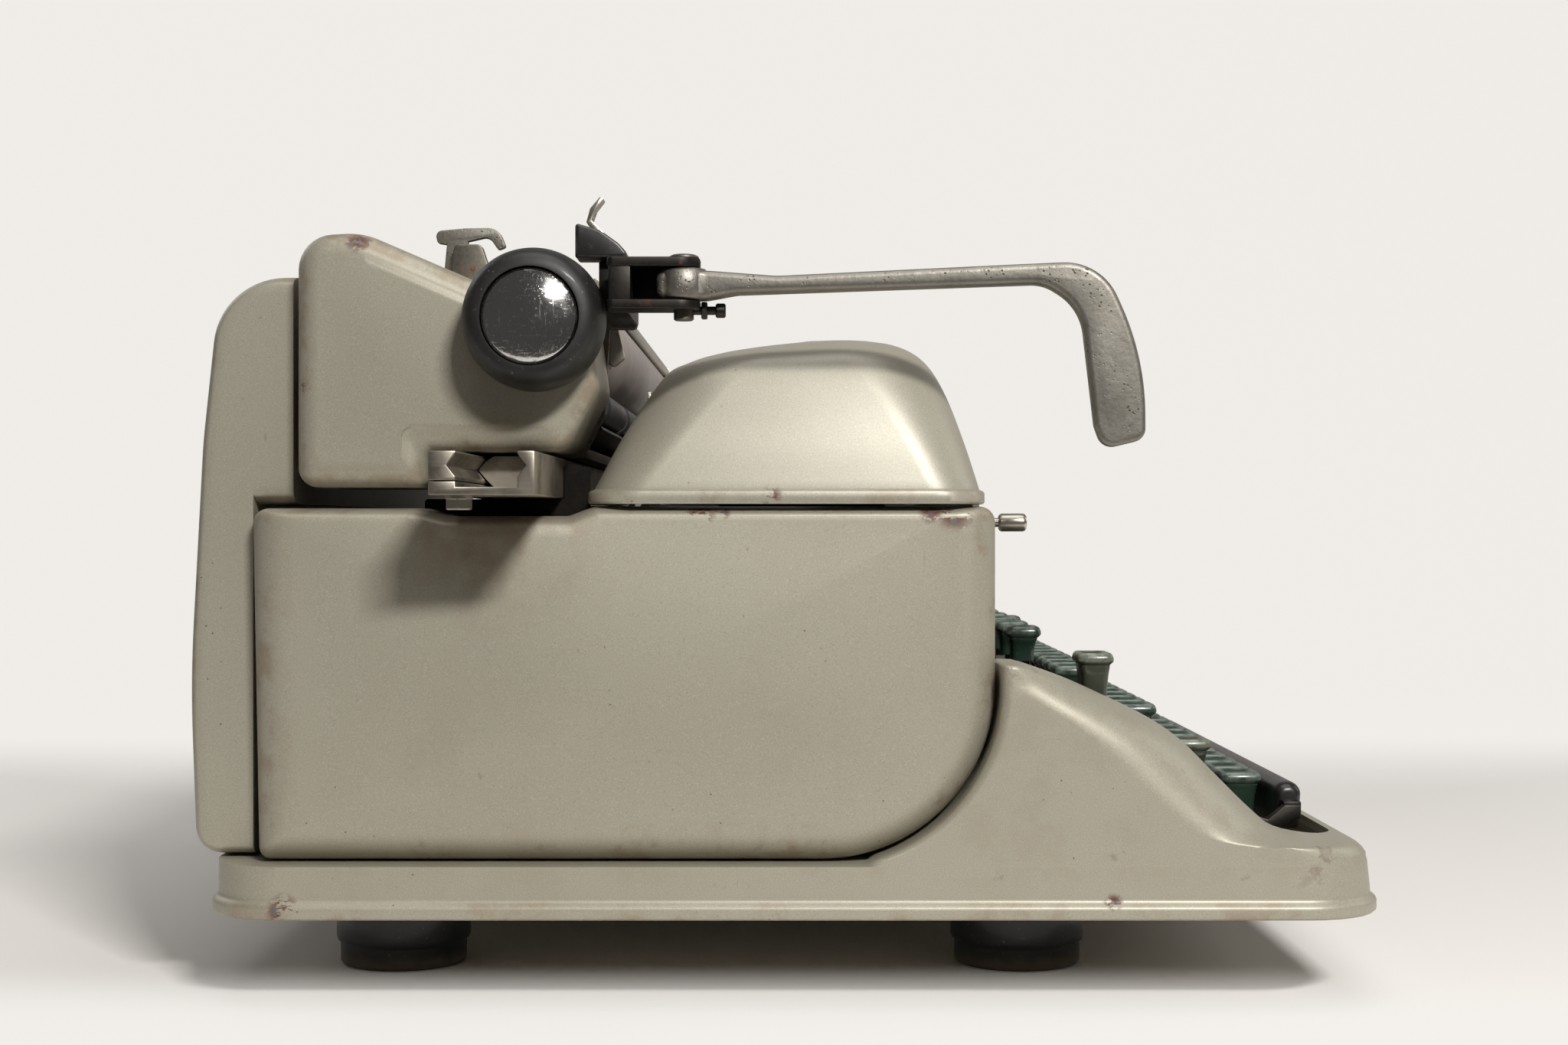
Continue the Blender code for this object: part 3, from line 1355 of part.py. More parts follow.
def make_paper_bail(bail):
    reach = PLATEN_RADIUS + BAIL_ROD_RADIUS + GAP
    angle = math.radians(BAIL_ANGLE)
    rod_y = PLATEN_Y - reach * math.cos(angle)
    rod_z = PLATEN_Z + reach * math.sin(angle)
    half = PLATE_OFFSET - GAP - 1.8
    pieces = [
        rod((carriage_x(-half), rod_y, rod_z), (carriage_x(half), rod_y, rod_z), BAIL_ROD_RADIUS, 12),
    ]
    for sign in SIDES.values():
        span = sorted((carriage_x(sign * (half - 0.5)), carriage_x(sign * (half + 1.8))))
        arm = [
            (BAIL_PIVOT_Y + 3.6, BAIL_PIVOT_Z - 2.0),
            (rod_y + 3.6, rod_z + 0.5),
            (rod_y + 1.0, rod_z + 3.4),
            (rod_y - 3.4, rod_z + 1.0),
            (BAIL_PIVOT_Y - 3.6, BAIL_PIVOT_Z - 1.0),
            (BAIL_PIVOT_Y, BAIL_PIVOT_Z - 4.0),
        ]
        pieces.append(plate(arm, "X", *span))
    finish(fuse(pieces), "paper_bail", STEEL, bail)


def key_cap(middle, row_y, lip, size=(KEY_WIDTH, KEY_LENGTH), depth=KEY_BODY):
    """A key top with a rim over a waisted body, by its middle, its row and its rim's lower edge."""
    half_x, half_y = size[0] / 2, size[1] / 2
    neck_x = half_x - (KEY_WIDTH - KEY_NECK) / 2
    neck_y = half_y - (KEY_LENGTH - KEY_NECK) / 2
    levels = (
        (neck_x, neck_y, lip - depth),
        (half_x - 1.2, half_y - 1.2, lip - 1.5),
        (half_x, half_y, lip),
        (half_x - 0.9, half_y - 0.9, lip + KEY_RIM),
    )
    rings = [
        [
            (middle - across, row_y - along, height),
            (middle + across, row_y - along, height),
            (middle + across, row_y + along, height),
            (middle - across, row_y + along, height),
        ]
        for across, along, height in levels
    ]
    return loft(rings)


def key_lever(middle, row_y, cap_bottom, tab_y=None):
    """A flat lever from under a key back to the pivot rod, with a tab down to its row's cross bar."""
    low = KEY_LEVER_BOTTOM
    high = low + KEY_LEVER_HEIGHT
    end = KEY_ROD_Y - KEY_ROD_RADIUS - GAP
    front_low = min(low, cap_bottom - KEY_STEM)
    front_high = min(high, front_low + KEY_LEVER_HEIGHT)
    outline = [(row_y - 2.0, cap_bottom + OVERLAP), (row_y - 2.0, front_low)]
    if front_low < low:
        outline += [(row_y + 8.0, front_low), (row_y + 30.0, low)]
    if tab_y is not None:
        outline += [
            (tab_y - 2.0, low),
            (tab_y - 2.0, CROSSBAR_BOTTOM + 1.0),
            (tab_y + 2.0, CROSSBAR_BOTTOM + 1.0),
            (tab_y + 2.0, low),
        ]
    outline += [(end, low), (end, high)]
    if front_low < low:
        outline += [(row_y + 26.0, high), (row_y + 5.0, front_high)]
    else:
        outline.append((row_y + 2.0, high))
    outline.append((row_y + 2.0, max(cap_bottom + OVERLAP, front_high)))
    return plate(outline, "X", middle - LEVER_PLATE / 2, middle + LEVER_PLATE / 2)


def make_key_row(name, row, middles, row_y, lip, tab_y):
    pieces = []
    for middle in middles:
        pieces.append(key_cap(middle, row_y, lip))
        pieces.append(key_lever(middle, row_y, lip - KEY_BODY, tab_y))
    low, high = min(middles) - 2.0, max(middles) + 2.0
    bottom = CROSSBAR_BOTTOM
    bar = cuboid(
        (low, tab_y - CROSSBAR_SIZE / 2, bottom), (high, tab_y + CROSSBAR_SIZE / 2, bottom + CROSSBAR_SIZE)
    )
    finish(fuse([bar, *pieces]), name, KEY_GREEN, row)


def make_single_key(name, key, middle, row_y, lip, look, size=(KEY_WIDTH, KEY_LENGTH), depth=KEY_BODY):
    cap = key_cap(middle, row_y, lip, size, depth)
    lever = key_lever(middle, row_y, lip - depth)
    finish(fuse([cap, lever]), name, look, key)


def key_middles():
    """The middles of the keys in each row, with the quarter-pitch stagger of a type-bar machine."""
    number = NUMBER_ROW_X
    upper = number - KEY_PITCH / 2
    home = upper + KEY_PITCH / 4
    lower = home + KEY_PITCH / 2
    return {
        "number": [number + KEY_PITCH * step for step in range(NUMBER_ROW_KEYS)],
        "upper": [upper + KEY_PITCH * step for step in range(NUMBER_ROW_KEYS)],
        "home": [home + KEY_PITCH * step for step in range(NUMBER_ROW_KEYS)],
        "lower": [lower + KEY_PITCH * step for step in range(NUMBER_ROW_KEYS)],
    }


def row_place(rows_up):
    """A row's middle Y and its rim height, counted in rows up from the home row."""
    return HOME_Y + ROW_DEPTH * rows_up, HOME_LIP + KEY_STEP * rows_up


def make_keys(bodies):
    middles = key_middles()
    single = middles["home"][NUMBER_ROW_KEYS // 2]
    home = [middle for middle in middles["home"][1:] if middle != single]
    y, lip = row_place(2)
    make_key_row("keys_number_row", bodies["number_row"], middles["number"], y, lip, 66.0)
    y, lip = row_place(1)
    make_key_row("keys_upper_row", bodies["upper_row"], middles["upper"], y, lip, 54.0)
    y, lip = row_place(0)
    make_key_row("keys_home_row", bodies["home_row"], home, y, lip, 42.0)
    make_single_key("centre_key", bodies["centre_key"], single, y, lip, KEY_GREEN)
    make_single_key("shift_lock", bodies["shift_lock"], middles["home"][0], y, lip, KEY_OLIVE)
    y, lip = row_place(-1)
    make_key_row("keys_lower_row", bodies["lower_row"], middles["lower"][1:-1], y, lip, 30.0)
    make_single_key("shift_left", bodies["shift_left"], middles["lower"][0], y, lip, KEY_GREEN)
    make_single_key("shift_right", bodies["shift_right"], middles["lower"][-1], y, lip, KEY_GREEN)
    size = (TALL_KEY_WIDTH, SPECIAL_KEY_LENGTH)
    lip = row_place(2)[1] + TALL_KEY_RISE
    for name, sign in (("margin_release", -1), ("back_space", 1)):
        x = sign * TALL_KEY_X
        make_single_key(name, bodies[name], x, TALL_KEY_Y, lip, KEY_OLIVE, size, TALL_KEY_BODY)


def make_function_keys(body_empty):
    y, lip = FUNCTION_KEY_Y, FUNCTION_KEY_LIP
    first = -FUNCTION_KEY_SPACING * (FUNCTION_KEYS - 1) / 2
    low = FUNCTION_ROD_Z - 3.0
    high = FUNCTION_ROD_Z + 3.0
    end = FUNCTION_ROD_Y - KEY_ROD_RADIUS - GAP
    pieces = []
    for step in range(FUNCTION_KEYS):
        middle = first + FUNCTION_KEY_SPACING * step
        pieces.append(key_cap(middle, y, lip, (KEY_WIDTH, SPECIAL_KEY_LENGTH), 9.0))
        outline = [
            (y - 2.0, lip - 9.0 + OVERLAP),
            (y - 2.0, low),
            (end, low),
            (end, high),
            (y + 2.0, high),
            (y + 2.0, lip - 9.0 + OVERLAP),
        ]
        pieces.append(plate(outline, "X", middle - LEVER_PLATE / 2, middle + LEVER_PLATE / 2))
    span = abs(first) + 2.0
    bar = cuboid((-span, -40.0, low - 4.0), (span, -36.0, low + 1.0))
    finish(fuse([bar, *pieces]), "function_keys", KEY_GREEN, body_empty)


def make_space_bar(body_empty):
    half = SPACE_BAR_LENGTH / 2
    top = SPACE_BAR_TOP
    front = SPACE_BAR_FRONT
    back = front + SPACE_BAR_DEPTH
    bottom = top - SPACE_BAR_HEIGHT
    outline = rounded(
        [
            (front + 1.5, bottom, 1.5),
            (back, bottom, 1.5),
            (back, top - 0.6, 2.5),
            (front + 1.0, top, 3.0),
        ],
        steps=3,
    )
    pieces = [plate(outline, "X", -half, half)]
    low = KEY_LEVER_BOTTOM
    end = KEY_ROD_Y - KEY_ROD_RADIUS - GAP
    for sign in SIDES.values():
        inner = sign * (half - 1.0)
        arm_x = sign * (half + SPACE_ARM_OUTSET)
        span = sorted((inner, arm_x))
        pieces.append(
            cuboid((span[0], front + 2.0, bottom + 2.0), (span[1], back - 1.6, bottom + 6.0))
        )
        arm = [
            (front + 2.5, bottom + 5.0),
            (front + 2.5, bottom + 1.0),
            (back + 4.0, low - 6.0),
            (back + 30.0, low),
            (end, low),
            (end, low + KEY_LEVER_HEIGHT),
            (back + 24.0, low + KEY_LEVER_HEIGHT),
            (back + 4.0, low - 0.5),
            (back - 1.5, bottom + 5.0),
        ]
        pieces.append(plate(arm, "X", arm_x - 2.0, arm_x + 2.0))
    finish(fuse(pieces), "space_bar", BAKELITE, body_empty)


def make_segment(machine):
    inner, outer = SEGMENT_INNER, SEGMENT_OUTER
    middle_z = TYPE_PIVOT_Z + TYPE_ROOT_RADIUS
    steps = 12
    outline = []
    for step in range(steps + 1):
        angle = math.radians(-SEGMENT_ANGLE + 2 * SEGMENT_ANGLE * step / steps)
        outline.append((outer * math.sin(angle), middle_z - outer * math.cos(angle)))
    for step in range(steps, -1, -1):
        angle = math.radians(-SEGMENT_ANGLE + 2 * SEGMENT_ANGLE * step / steps)
        outline.append((inner * math.sin(angle), middle_z - inner * math.cos(angle)))
    back = TYPE_PIVOT_Y + 9.5 - GAP
    block = plate(outline, "Y", TYPE_PIVOT_Y + 2.2, back)
    slot_low = (-TYPE_BAR_THICKNESS, TYPE_PIVOT_Y + 1.0, TYPE_PIVOT_Z - 6.0)
    slot_high = (TYPE_BAR_THICKNESS, TYPE_PIVOT_Y + 6.0, TYPE_PIVOT_Z + 10.0)
    carve(block, cuboid(slot_low, slot_high))
    finish(block, "type_segment", STEEL, machine)


def make_type_fan(machine):
    """The type bars at rest, with the wire that holds their roots together."""
    reach = TYPE_ROOT_RADIUS
    centre = Vector((0.0, TYPE_PIVOT_Y, TYPE_PIVOT_Z + reach))
    bars = []
    ring = []
    for side in SIDES.values():
        for step in range(1, TYPE_FAN_BARS + 1):
            angle = math.radians(side * TYPE_FAN_SPACING * step)
            bar = cuboid(
                (-TYPE_BAR_THICKNESS / 2, -TYPE_BAR_LENGTH, -TYPE_BAR_HEIGHT / 2),
                (TYPE_BAR_THICKNESS / 2, 0.8, TYPE_BAR_HEIGHT / 2),
            )
            splay = Matrix.Rotation(angle * 0.45, 4, "Z")
            roll = Matrix.Rotation(-angle, 4, "Y")
            root = centre + Vector((math.sin(angle), 0.0, -math.cos(angle))) * reach
            bar.data.transform(Matrix.Translation(root * MM) @ roll @ splay)
            bars.append(bar)
    limit = TYPE_FAN_SPACING * (TYPE_FAN_BARS + 0.6)
    count = 14
    for radius in (reach + 1.9 + TYPE_BAR_HEIGHT / 2, reach - 0.4 + TYPE_BAR_HEIGHT / 2):
        row = []
        for step in range(count + 1):
            angle = math.radians(-limit + 2 * limit * step / count)
            row.append((radius * math.sin(angle), centre.z - radius * math.cos(angle)))
        ring += row if not ring else row[::-1]
    strip = plate(ring, "Y", TYPE_PIVOT_Y - 3.0, TYPE_PIVOT_Y + 1.8)
    finish(fuse([strip, *bars]), "type_bar_fan", STEEL, machine)


def make_centre_type_bar(bar_body):
    y, z = TYPE_PIVOT_Y, TYPE_PIVOT_Z
    half = TYPE_BAR_HEIGHT / 2
    end = y - TYPE_BAR_LENGTH
    outline = [
        (y - 5.0, z - half),
        (y - 4.0, z - 1.0),
        (y + 1.2, z - 1.0),
        (y + 1.2, z + half),
        (end + 4.0, z + half - 0.8),
        (end + 4.0, z + 4.4),
        (end, z + 4.4),
        (end, z - 4.4),
        (end + 4.0, z - 4.4),
        (end + 4.0, z - half + 0.8),
    ]
    made = plate(outline, "X", -TYPE_BAR_THICKNESS / 2, TYPE_BAR_THICKNESS / 2)
    finish(made, "centre_type_bar", STEEL, bar_body, smooth=False)


def make_type_guide(machine):
    y = GUIDE_Y + 1.2
    low = TYPE_PIVOT_Z + 10.0
    outline = [
        (-GUIDE_HALF_WIDTH, low),
        (GUIDE_HALF_WIDTH, low),
        (GUIDE_HALF_WIDTH, GUIDE_TOP),
        (3.0, GUIDE_TOP - 4.0),
        (3.0, GUIDE_SLOT_BOTTOM),
        (-3.0, GUIDE_SLOT_BOTTOM),
        (-3.0, GUIDE_TOP - 4.0),
        (-GUIDE_HALF_WIDTH, GUIDE_TOP),
    ]
    blade = plate(outline, "Y", y, y + 1.4)
    foot = cuboid((-GUIDE_HALF_WIDTH, y - 1.9, low), (GUIDE_HALF_WIDTH, y + 1.0, low + 3.0))
    finish(fuse([blade, foot]), "type_guide", STEEL, machine, smooth=False)


def make_vibrator(body_empty):
    low = TYPE_PIVOT_Z + 15.5
    outline = [
        (-PRONG_X, low),
        (PRONG_X, low),
        (PRONG_X, PRONG_TOP),
        (PRONG_X - PRONG_WIDTH, PRONG_TOP),
        (PRONG_X - PRONG_WIDTH, low + PRONG_WIDTH),
        (PRONG_WIDTH - PRONG_X, low + PRONG_WIDTH),
        (PRONG_WIDTH - PRONG_X, PRONG_TOP),
        (-PRONG_X, PRONG_TOP),
    ]
    made = plate(outline, "Y", GUIDE_Y - 0.7, GUIDE_Y + 0.7)
    finish(made, "ribbon_vibrator", STEEL, body_empty, smooth=False)


def spool_cup(sign):
    """The open cup that a ribbon spool turns in."""
    floor = FRAME_TOP - 1.0
    inner = CUP_RADIUS - CUP_WALL
    profile = [
        (0.0, floor + CUP_WALL),
        (inner, floor + CUP_WALL),
        (inner, floor + CUP_HEIGHT),
        (CUP_RADIUS, floor + CUP_HEIGHT),
        (CUP_RADIUS, floor),
        (0.0, floor),
    ]
    return turned(profile, (sign * SPOOL_X, SPOOL_Y, 0.0), (0, 0, 1), steps=16)


def make_spools(spools):
    for (name, spool), sign in zip(spools.items(), SIDES.values()):
        base = FRAME_TOP - 1.0 + CUP_WALL + GAP
        radius = SPOOL_RADIUS
        profile = [
            (0.0, base + SPOOL_HEIGHT + 2.0),
            (4.0, base + SPOOL_HEIGHT + 2.0),
            (4.0, base + SPOOL_HEIGHT),
            (radius, base + SPOOL_HEIGHT),
            (radius, base + SPOOL_HEIGHT - 1.0),
            (radius - 5.0, base + SPOOL_HEIGHT - 1.0),
            (radius - 5.0, base + 1.0),
            (radius, base + 1.0),
            (radius, base),
            (0.0, base),
        ]
        made = turned(profile, (sign * SPOOL_X, SPOOL_Y, 0.0), (0, 0, 1), steps=16)
        finish(made, name, CLOTH, spool)


def make_drum(body_empty):
    half = DRUM_DEPTH / 2
    bore = DRUM_AXLE_RADIUS + GAP
    profile = [
        (bore, half + 3.0),
        (5.0, half + 3.0),
        (5.0, half),
        (DRUM_RADIUS, half),
        (DRUM_RADIUS, half - 2.0),
        (DRUM_RADIUS - 3.0, half - 3.0),
        (DRUM_RADIUS - 3.0, -half + 3.0),
        (DRUM_RADIUS, -half + 2.0),
        (DRUM_RADIUS, -half),
        (bore, -half),
        (bore, half + 3.0),
    ]
    made = turned(profile, (DRUM_X, DRUM_Y, DRUM_Z), (0, 1, 0), steps=20)
    finish(made, "mainspring_drum", STEEL, body_empty)


def make_escapement(body_empty):
    centre = (0.0, ESCAPEMENT_Y, ESCAPEMENT_Z)
    bore = ESCAPEMENT_AXLE_RADIUS + GAP
    profile = [
        (bore, 5.0),
        (bore + 1.6, 5.0),
        (bore + 1.6, 1.2),
        (ESCAPEMENT_RADIUS, 1.2),
        (ESCAPEMENT_RADIUS, -1.2),
        (bore, -1.2),
        (bore, 5.0),
    ]
    made = turned(profile, centre, (0, 1, 0), steps=20)
    finish(made, "escapement_wheel", STEEL, body_empty)


def make_bell(machine):
    outer, inner = [], []
    for step in range(5):
        angle = math.radians(90 - step * 22.5)
        outer.append((BELL_RADIUS * math.cos(angle), BELL_RADIUS * math.sin(angle)))
        thin = BELL_RADIUS - 1.4
        inner.append((thin * math.cos(angle), thin * math.sin(angle)))
    profile = [(0.0, BELL_RADIUS), *outer[1:], *inner[:0:-1], (3.0, BELL_RADIUS - 1.8)]
    stem_end = BELL_TAB_TOP + GAP - BELL_Z
    profile += [(3.0, stem_end), (0.0, stem_end)]
    made = turned(profile, (BELL_X, BELL_Y, BELL_Z), (0, 0, 1), steps=16)
    finish(made, "margin_bell", STEEL, machine)


def build():
    clear_scene()
    machine = body("machine")
    carriage = body("carriage", machine, (CARRIAGE_SHIFT, 0.0, 0.0))
    platen = body("platen_turn", carriage, (CARRIAGE_SHIFT, PLATEN_Y, PLATEN_Z))
    rollers = {
        name: body(f"{name}_turn", carriage, (CARRIAGE_SHIFT, *feed_roller_centre(sign)))
        for name, sign in (("feed_roller_front", -1), ("feed_roller_rear", 1))
    }
    stops = {
        name: body(f"{name}_slide", carriage, (carriage_x(sign * MARGIN_STOP_X), RACK_Y, RACK_Z))
        for name, sign in (("margin_stop_left", -1), ("margin_stop_right", 1))
    }
    lever = body("lever_swing", carriage, (LEVER_X, LEVER_Y, LEVER_TOP))
    wedge = body("release_tilt", carriage, (LEVER_X, WEDGE_BACK, WEDGE_BOTTOM))
    spacing = body("line_space_tilt", carriage, (SPACING_LEVER_X, SPACING_LEVER_Y, WEDGE_BOTTOM))
    release = body("paper_release_tilt", carriage, (CARRIAGE_LEFT, PAPER_RELEASE_Y, PAPER_RELEASE_Z))
    bail = body("bail_lift", carriage, (CARRIAGE_SHIFT, BAIL_PIVOT_Y, BAIL_PIVOT_Z))
    hood = body("cover_lift", machine, (0.0, HINGE_Y, HINGE_Z))
    key_names = (
        "number_row",
        "upper_row",
        "home_row",
        "lower_row",
        "centre_key",
        "shift_lock",
        "shift_left",
        "shift_right",
        "margin_release",
        "back_space",
        "space_bar",
    )
    keys = {name: body(f"{name}_press", machine, (0.0, KEY_ROD_Y, KEY_ROD_Z)) for name in key_names}
    function = body("function_press", machine, (0.0, FUNCTION_ROD_Y, FUNCTION_ROD_Z))
    bar = body("type_bar_swing", machine, (0.0, TYPE_PIVOT_Y, TYPE_PIVOT_Z))
    vibrator = body("vibrator_lift", machine, (0.0, GUIDE_Y, TYPE_PIVOT_Z))
    spools = {
        f"ribbon_spool_{side}": body(f"spool_{side}_turn", machine, (sign * SPOOL_X, SPOOL_Y, FRAME_TOP))
        for side, sign in SIDES.items()
    }
    drum = body("drum_turn", machine, (DRUM_X, DRUM_Y, DRUM_Z))
    wheel = body("escapement_turn", machine, (0.0, ESCAPEMENT_Y, ESCAPEMENT_Z))
    selector = body("selector_slide", machine, (SELECTOR_X, PANEL_FRONT, SELECTOR_Z))

    make_base(machine)
    make_feet(machine)
    make_side_covers(machine)
    make_rear_cover(machine)
    make_front_panel(machine)
    make_hinge_pin(machine)
    make_inner_frame(machine)
    make_rails(machine)
    make_segment(machine)
    make_type_fan(machine)
    make_type_guide(machine)
    make_bell(machine)
    make_spools(spools)
    make_ribbon_cover(hood)
    make_selector(selector)
    make_vibrator(vibrator)
    make_centre_type_bar(bar)
    make_drum(drum)
    make_escapement(wheel)
    make_keys(keys)
    make_function_keys(function)
    make_space_bar(keys["space_bar"])
    make_moving_rail(carriage)
    make_carriage_bed(carriage)
    make_end_covers(carriage)
    make_paper_parts(carriage)
    make_margin_parts(carriage, stops)
    make_lever_bracket(carriage)
    make_return_lever(lever)
    make_release_wedge(wedge)
    make_line_space_selector(spacing)
    make_paper_release(release)
    make_paper_bail(bail)
    make_platen(platen)
    make_knobs(platen)
    make_feed_rollers(rollers)
    machine.location = Vector((-CENTRE_X, -CENTRE_Y, 0.0)) * MM


build()
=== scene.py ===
"""Looks of the wide-carriage typewriter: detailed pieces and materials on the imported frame."""

from math import cos, pi, radians, sin, sqrt, tan

import bmesh
import bpy
from mathutils import Matrix, Vector

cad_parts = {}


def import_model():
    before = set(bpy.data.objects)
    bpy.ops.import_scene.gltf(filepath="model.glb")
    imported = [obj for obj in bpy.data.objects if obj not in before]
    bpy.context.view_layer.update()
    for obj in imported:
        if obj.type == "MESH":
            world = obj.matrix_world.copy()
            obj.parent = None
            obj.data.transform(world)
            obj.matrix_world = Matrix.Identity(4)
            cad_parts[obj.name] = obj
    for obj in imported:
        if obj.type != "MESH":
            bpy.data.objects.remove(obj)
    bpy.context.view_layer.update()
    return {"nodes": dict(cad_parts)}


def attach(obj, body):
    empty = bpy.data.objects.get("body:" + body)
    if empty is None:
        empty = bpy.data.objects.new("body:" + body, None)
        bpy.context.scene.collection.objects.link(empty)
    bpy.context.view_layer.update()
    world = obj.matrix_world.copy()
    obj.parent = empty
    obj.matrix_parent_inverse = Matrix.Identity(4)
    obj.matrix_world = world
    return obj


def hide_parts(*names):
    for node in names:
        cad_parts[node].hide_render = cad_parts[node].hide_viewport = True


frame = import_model()

# Sizes are millimetres in the machine's own frame: X across, Y to the back, Z up from the table.
MM = 0.001
ORIGIN = Vector((-67, -0.75, 0))
GAP = 0.3
SIDES = {"left": -1, "right": 1}
# The carriage's middle at rest, the inner face of its end plates and the span between them
CARRIAGE = 79
END_PLATE = 204
LEFT, RIGHT = CARRIAGE - END_PLATE + GAP, CARRIAGE + END_PLATE - GAP
# Axes seen from the side (Y, Z) and from above (X, Y)
PLATEN = (75.4, 209.8)
LEVER = (-192, 30)
SPOOL = (108, -6)
# Pitch of the teeth on the carriage's two toothed strips
TOOTH = 2.54
# Bottom, top and rear end of the key levers
LEVER_LOW, LEVER_HIGH, LEVER_END = 51, 57, 91.7


def world(point):
    return (Vector(point) + ORIGIN) * MM


# Materials


def fill(tree, socket, value):
    if isinstance(value, bpy.types.NodeSocket):
        tree.links.new(value, socket)
    else:
        socket.default_value = value


def node_in(tree, kind, inputs, output=0, **settings):
    """One output of a new node, whose inputs get values or other nodes' outputs."""
    made = tree.nodes.new("ShaderNode" + kind)
    for key, value in settings.items():
        setattr(made, key, value)
    for key, value in inputs.items():
        fill(tree, made.inputs[key], value)
    return made.outputs[output]


class Look:
    """One procedural material, built node by node."""

    def __init__(self, name, colour, rough, metallic=0, coat=0, coat_rough=0.12):
        self.material = bpy.data.materials.new(name)
        self.material.use_nodes = True
        self.tree = self.material.node_tree
        self.shader = self.tree.nodes["Principled BSDF"]
        for key, value in (("Metallic", metallic), ("Coat Weight", coat), ("Coat Roughness", coat_rough)):
            self.shader.inputs[key].default_value = value
        self.place = self.node("TexCoord", {}, "Object")
        self.colour = (*colour, 1)
        self.rough = rough
        self.height = None

    def node(self, kind, inputs, output=0, **settings):
        return node_in(self.tree, kind, inputs, output, **settings)

    def sums(self, operation, first, second, clamp=False):
        return self.node("Math", {0: first, 1: second}, operation=operation, use_clamp=clamp)

    def times(self, first, second):
        return self.sums("MULTIPLY", first, second)

    def noise(self, scale, detail=3, rough=0.5, stretch=(1, 1, 1), shift=0):
        inputs = {"Vector": self.place, "Scale": stretch, "Location": (shift, shift * 0.7, shift * 1.3)}
        inputs = {"Vector": self.node("Mapping", inputs), "Scale": scale, "Detail": detail, "Roughness": rough}
        return self.node("TexNoise", inputs)

    def cells(self, scale):
        return self.node("TexVoronoi", {"Vector": self.place, "Scale": scale})

    def band(self, value, low, high):
        inputs = {"Value": value, "From Min": low, "From Max": high}
        return self.node("MapRange", inputs, interpolation_type="SMOOTHSTEP")

    def grain(self, low, high, *noise, **more):
        """A mask from noise, 0 below one value and 1 above the other."""
        return self.band(self.noise(*noise, **more), low, high)

    def edges(self):
        marks = (self.node("Attribute", {}, "Fac", attribute_name=name) for name in ("rim", "cut"))
        return self.sums("MAXIMUM", *marks)

    def near(self, point, radius):
        away = self.node("VectorMath", {0: self.place, 1: world(point)}, "Value", operation="DISTANCE")
        return self.band(away, radius * MM, radius * MM * 0.35)

    def cover(self, share, colour, rough=None, depth=0, amount=None):
        """Lays a colour over the rest where a mask is 1, and sinks or raises the surface there."""
        if amount is not None:
            share = self.times(share, amount)
        inputs = {0: share, 6: self.colour, 7: (*colour, 1)}
        self.colour = self.node("Mix", inputs, 2, data_type="RGBA")
        if rough is not None:
            rest = self.times(self.sums("SUBTRACT", 1, share), self.rough)
            self.rough = self.sums("ADD", self.times(share, rough), rest)
        if depth:
            self.raise_by(share, depth)

    def patches(self, colour, scale, low, high, amount, stretch=(1, 1, 1), shift=0):
        self.cover(self.grain(low, high, scale, 4, 0.6, stretch, shift), colour, amount=amount)

    def vary_rough(self, scale, amount):
        spread = self.times(self.sums("SUBTRACT", self.noise(scale, 4, 0.6, shift=3.1), 0.5), amount)
        self.rough = self.sums("ADD", self.rough, spread, clamp=True)

    def raise_by(self, mask, height):
        step = self.times(mask, height)
        self.height = step if self.height is None else self.sums("ADD", self.height, step)

    def done(self, relief):
        bump = self.node("Bump", {"Height": self.height, "Distance": MM, "Strength": relief})
        values = (("Base Color", self.colour), ("Roughness", self.rough), ("Normal", bump))
        for key, value in values:
            fill(self.tree, self.shader.inputs[key], value)
        return self.material


RUST = (0.16, 0.062, 0.028)
PRIMER = (0.13, 0.05, 0.032)
BARE_STEEL = (0.13, 0.12, 0.11)
PAINT = (0.365, 0.342, 0.272)


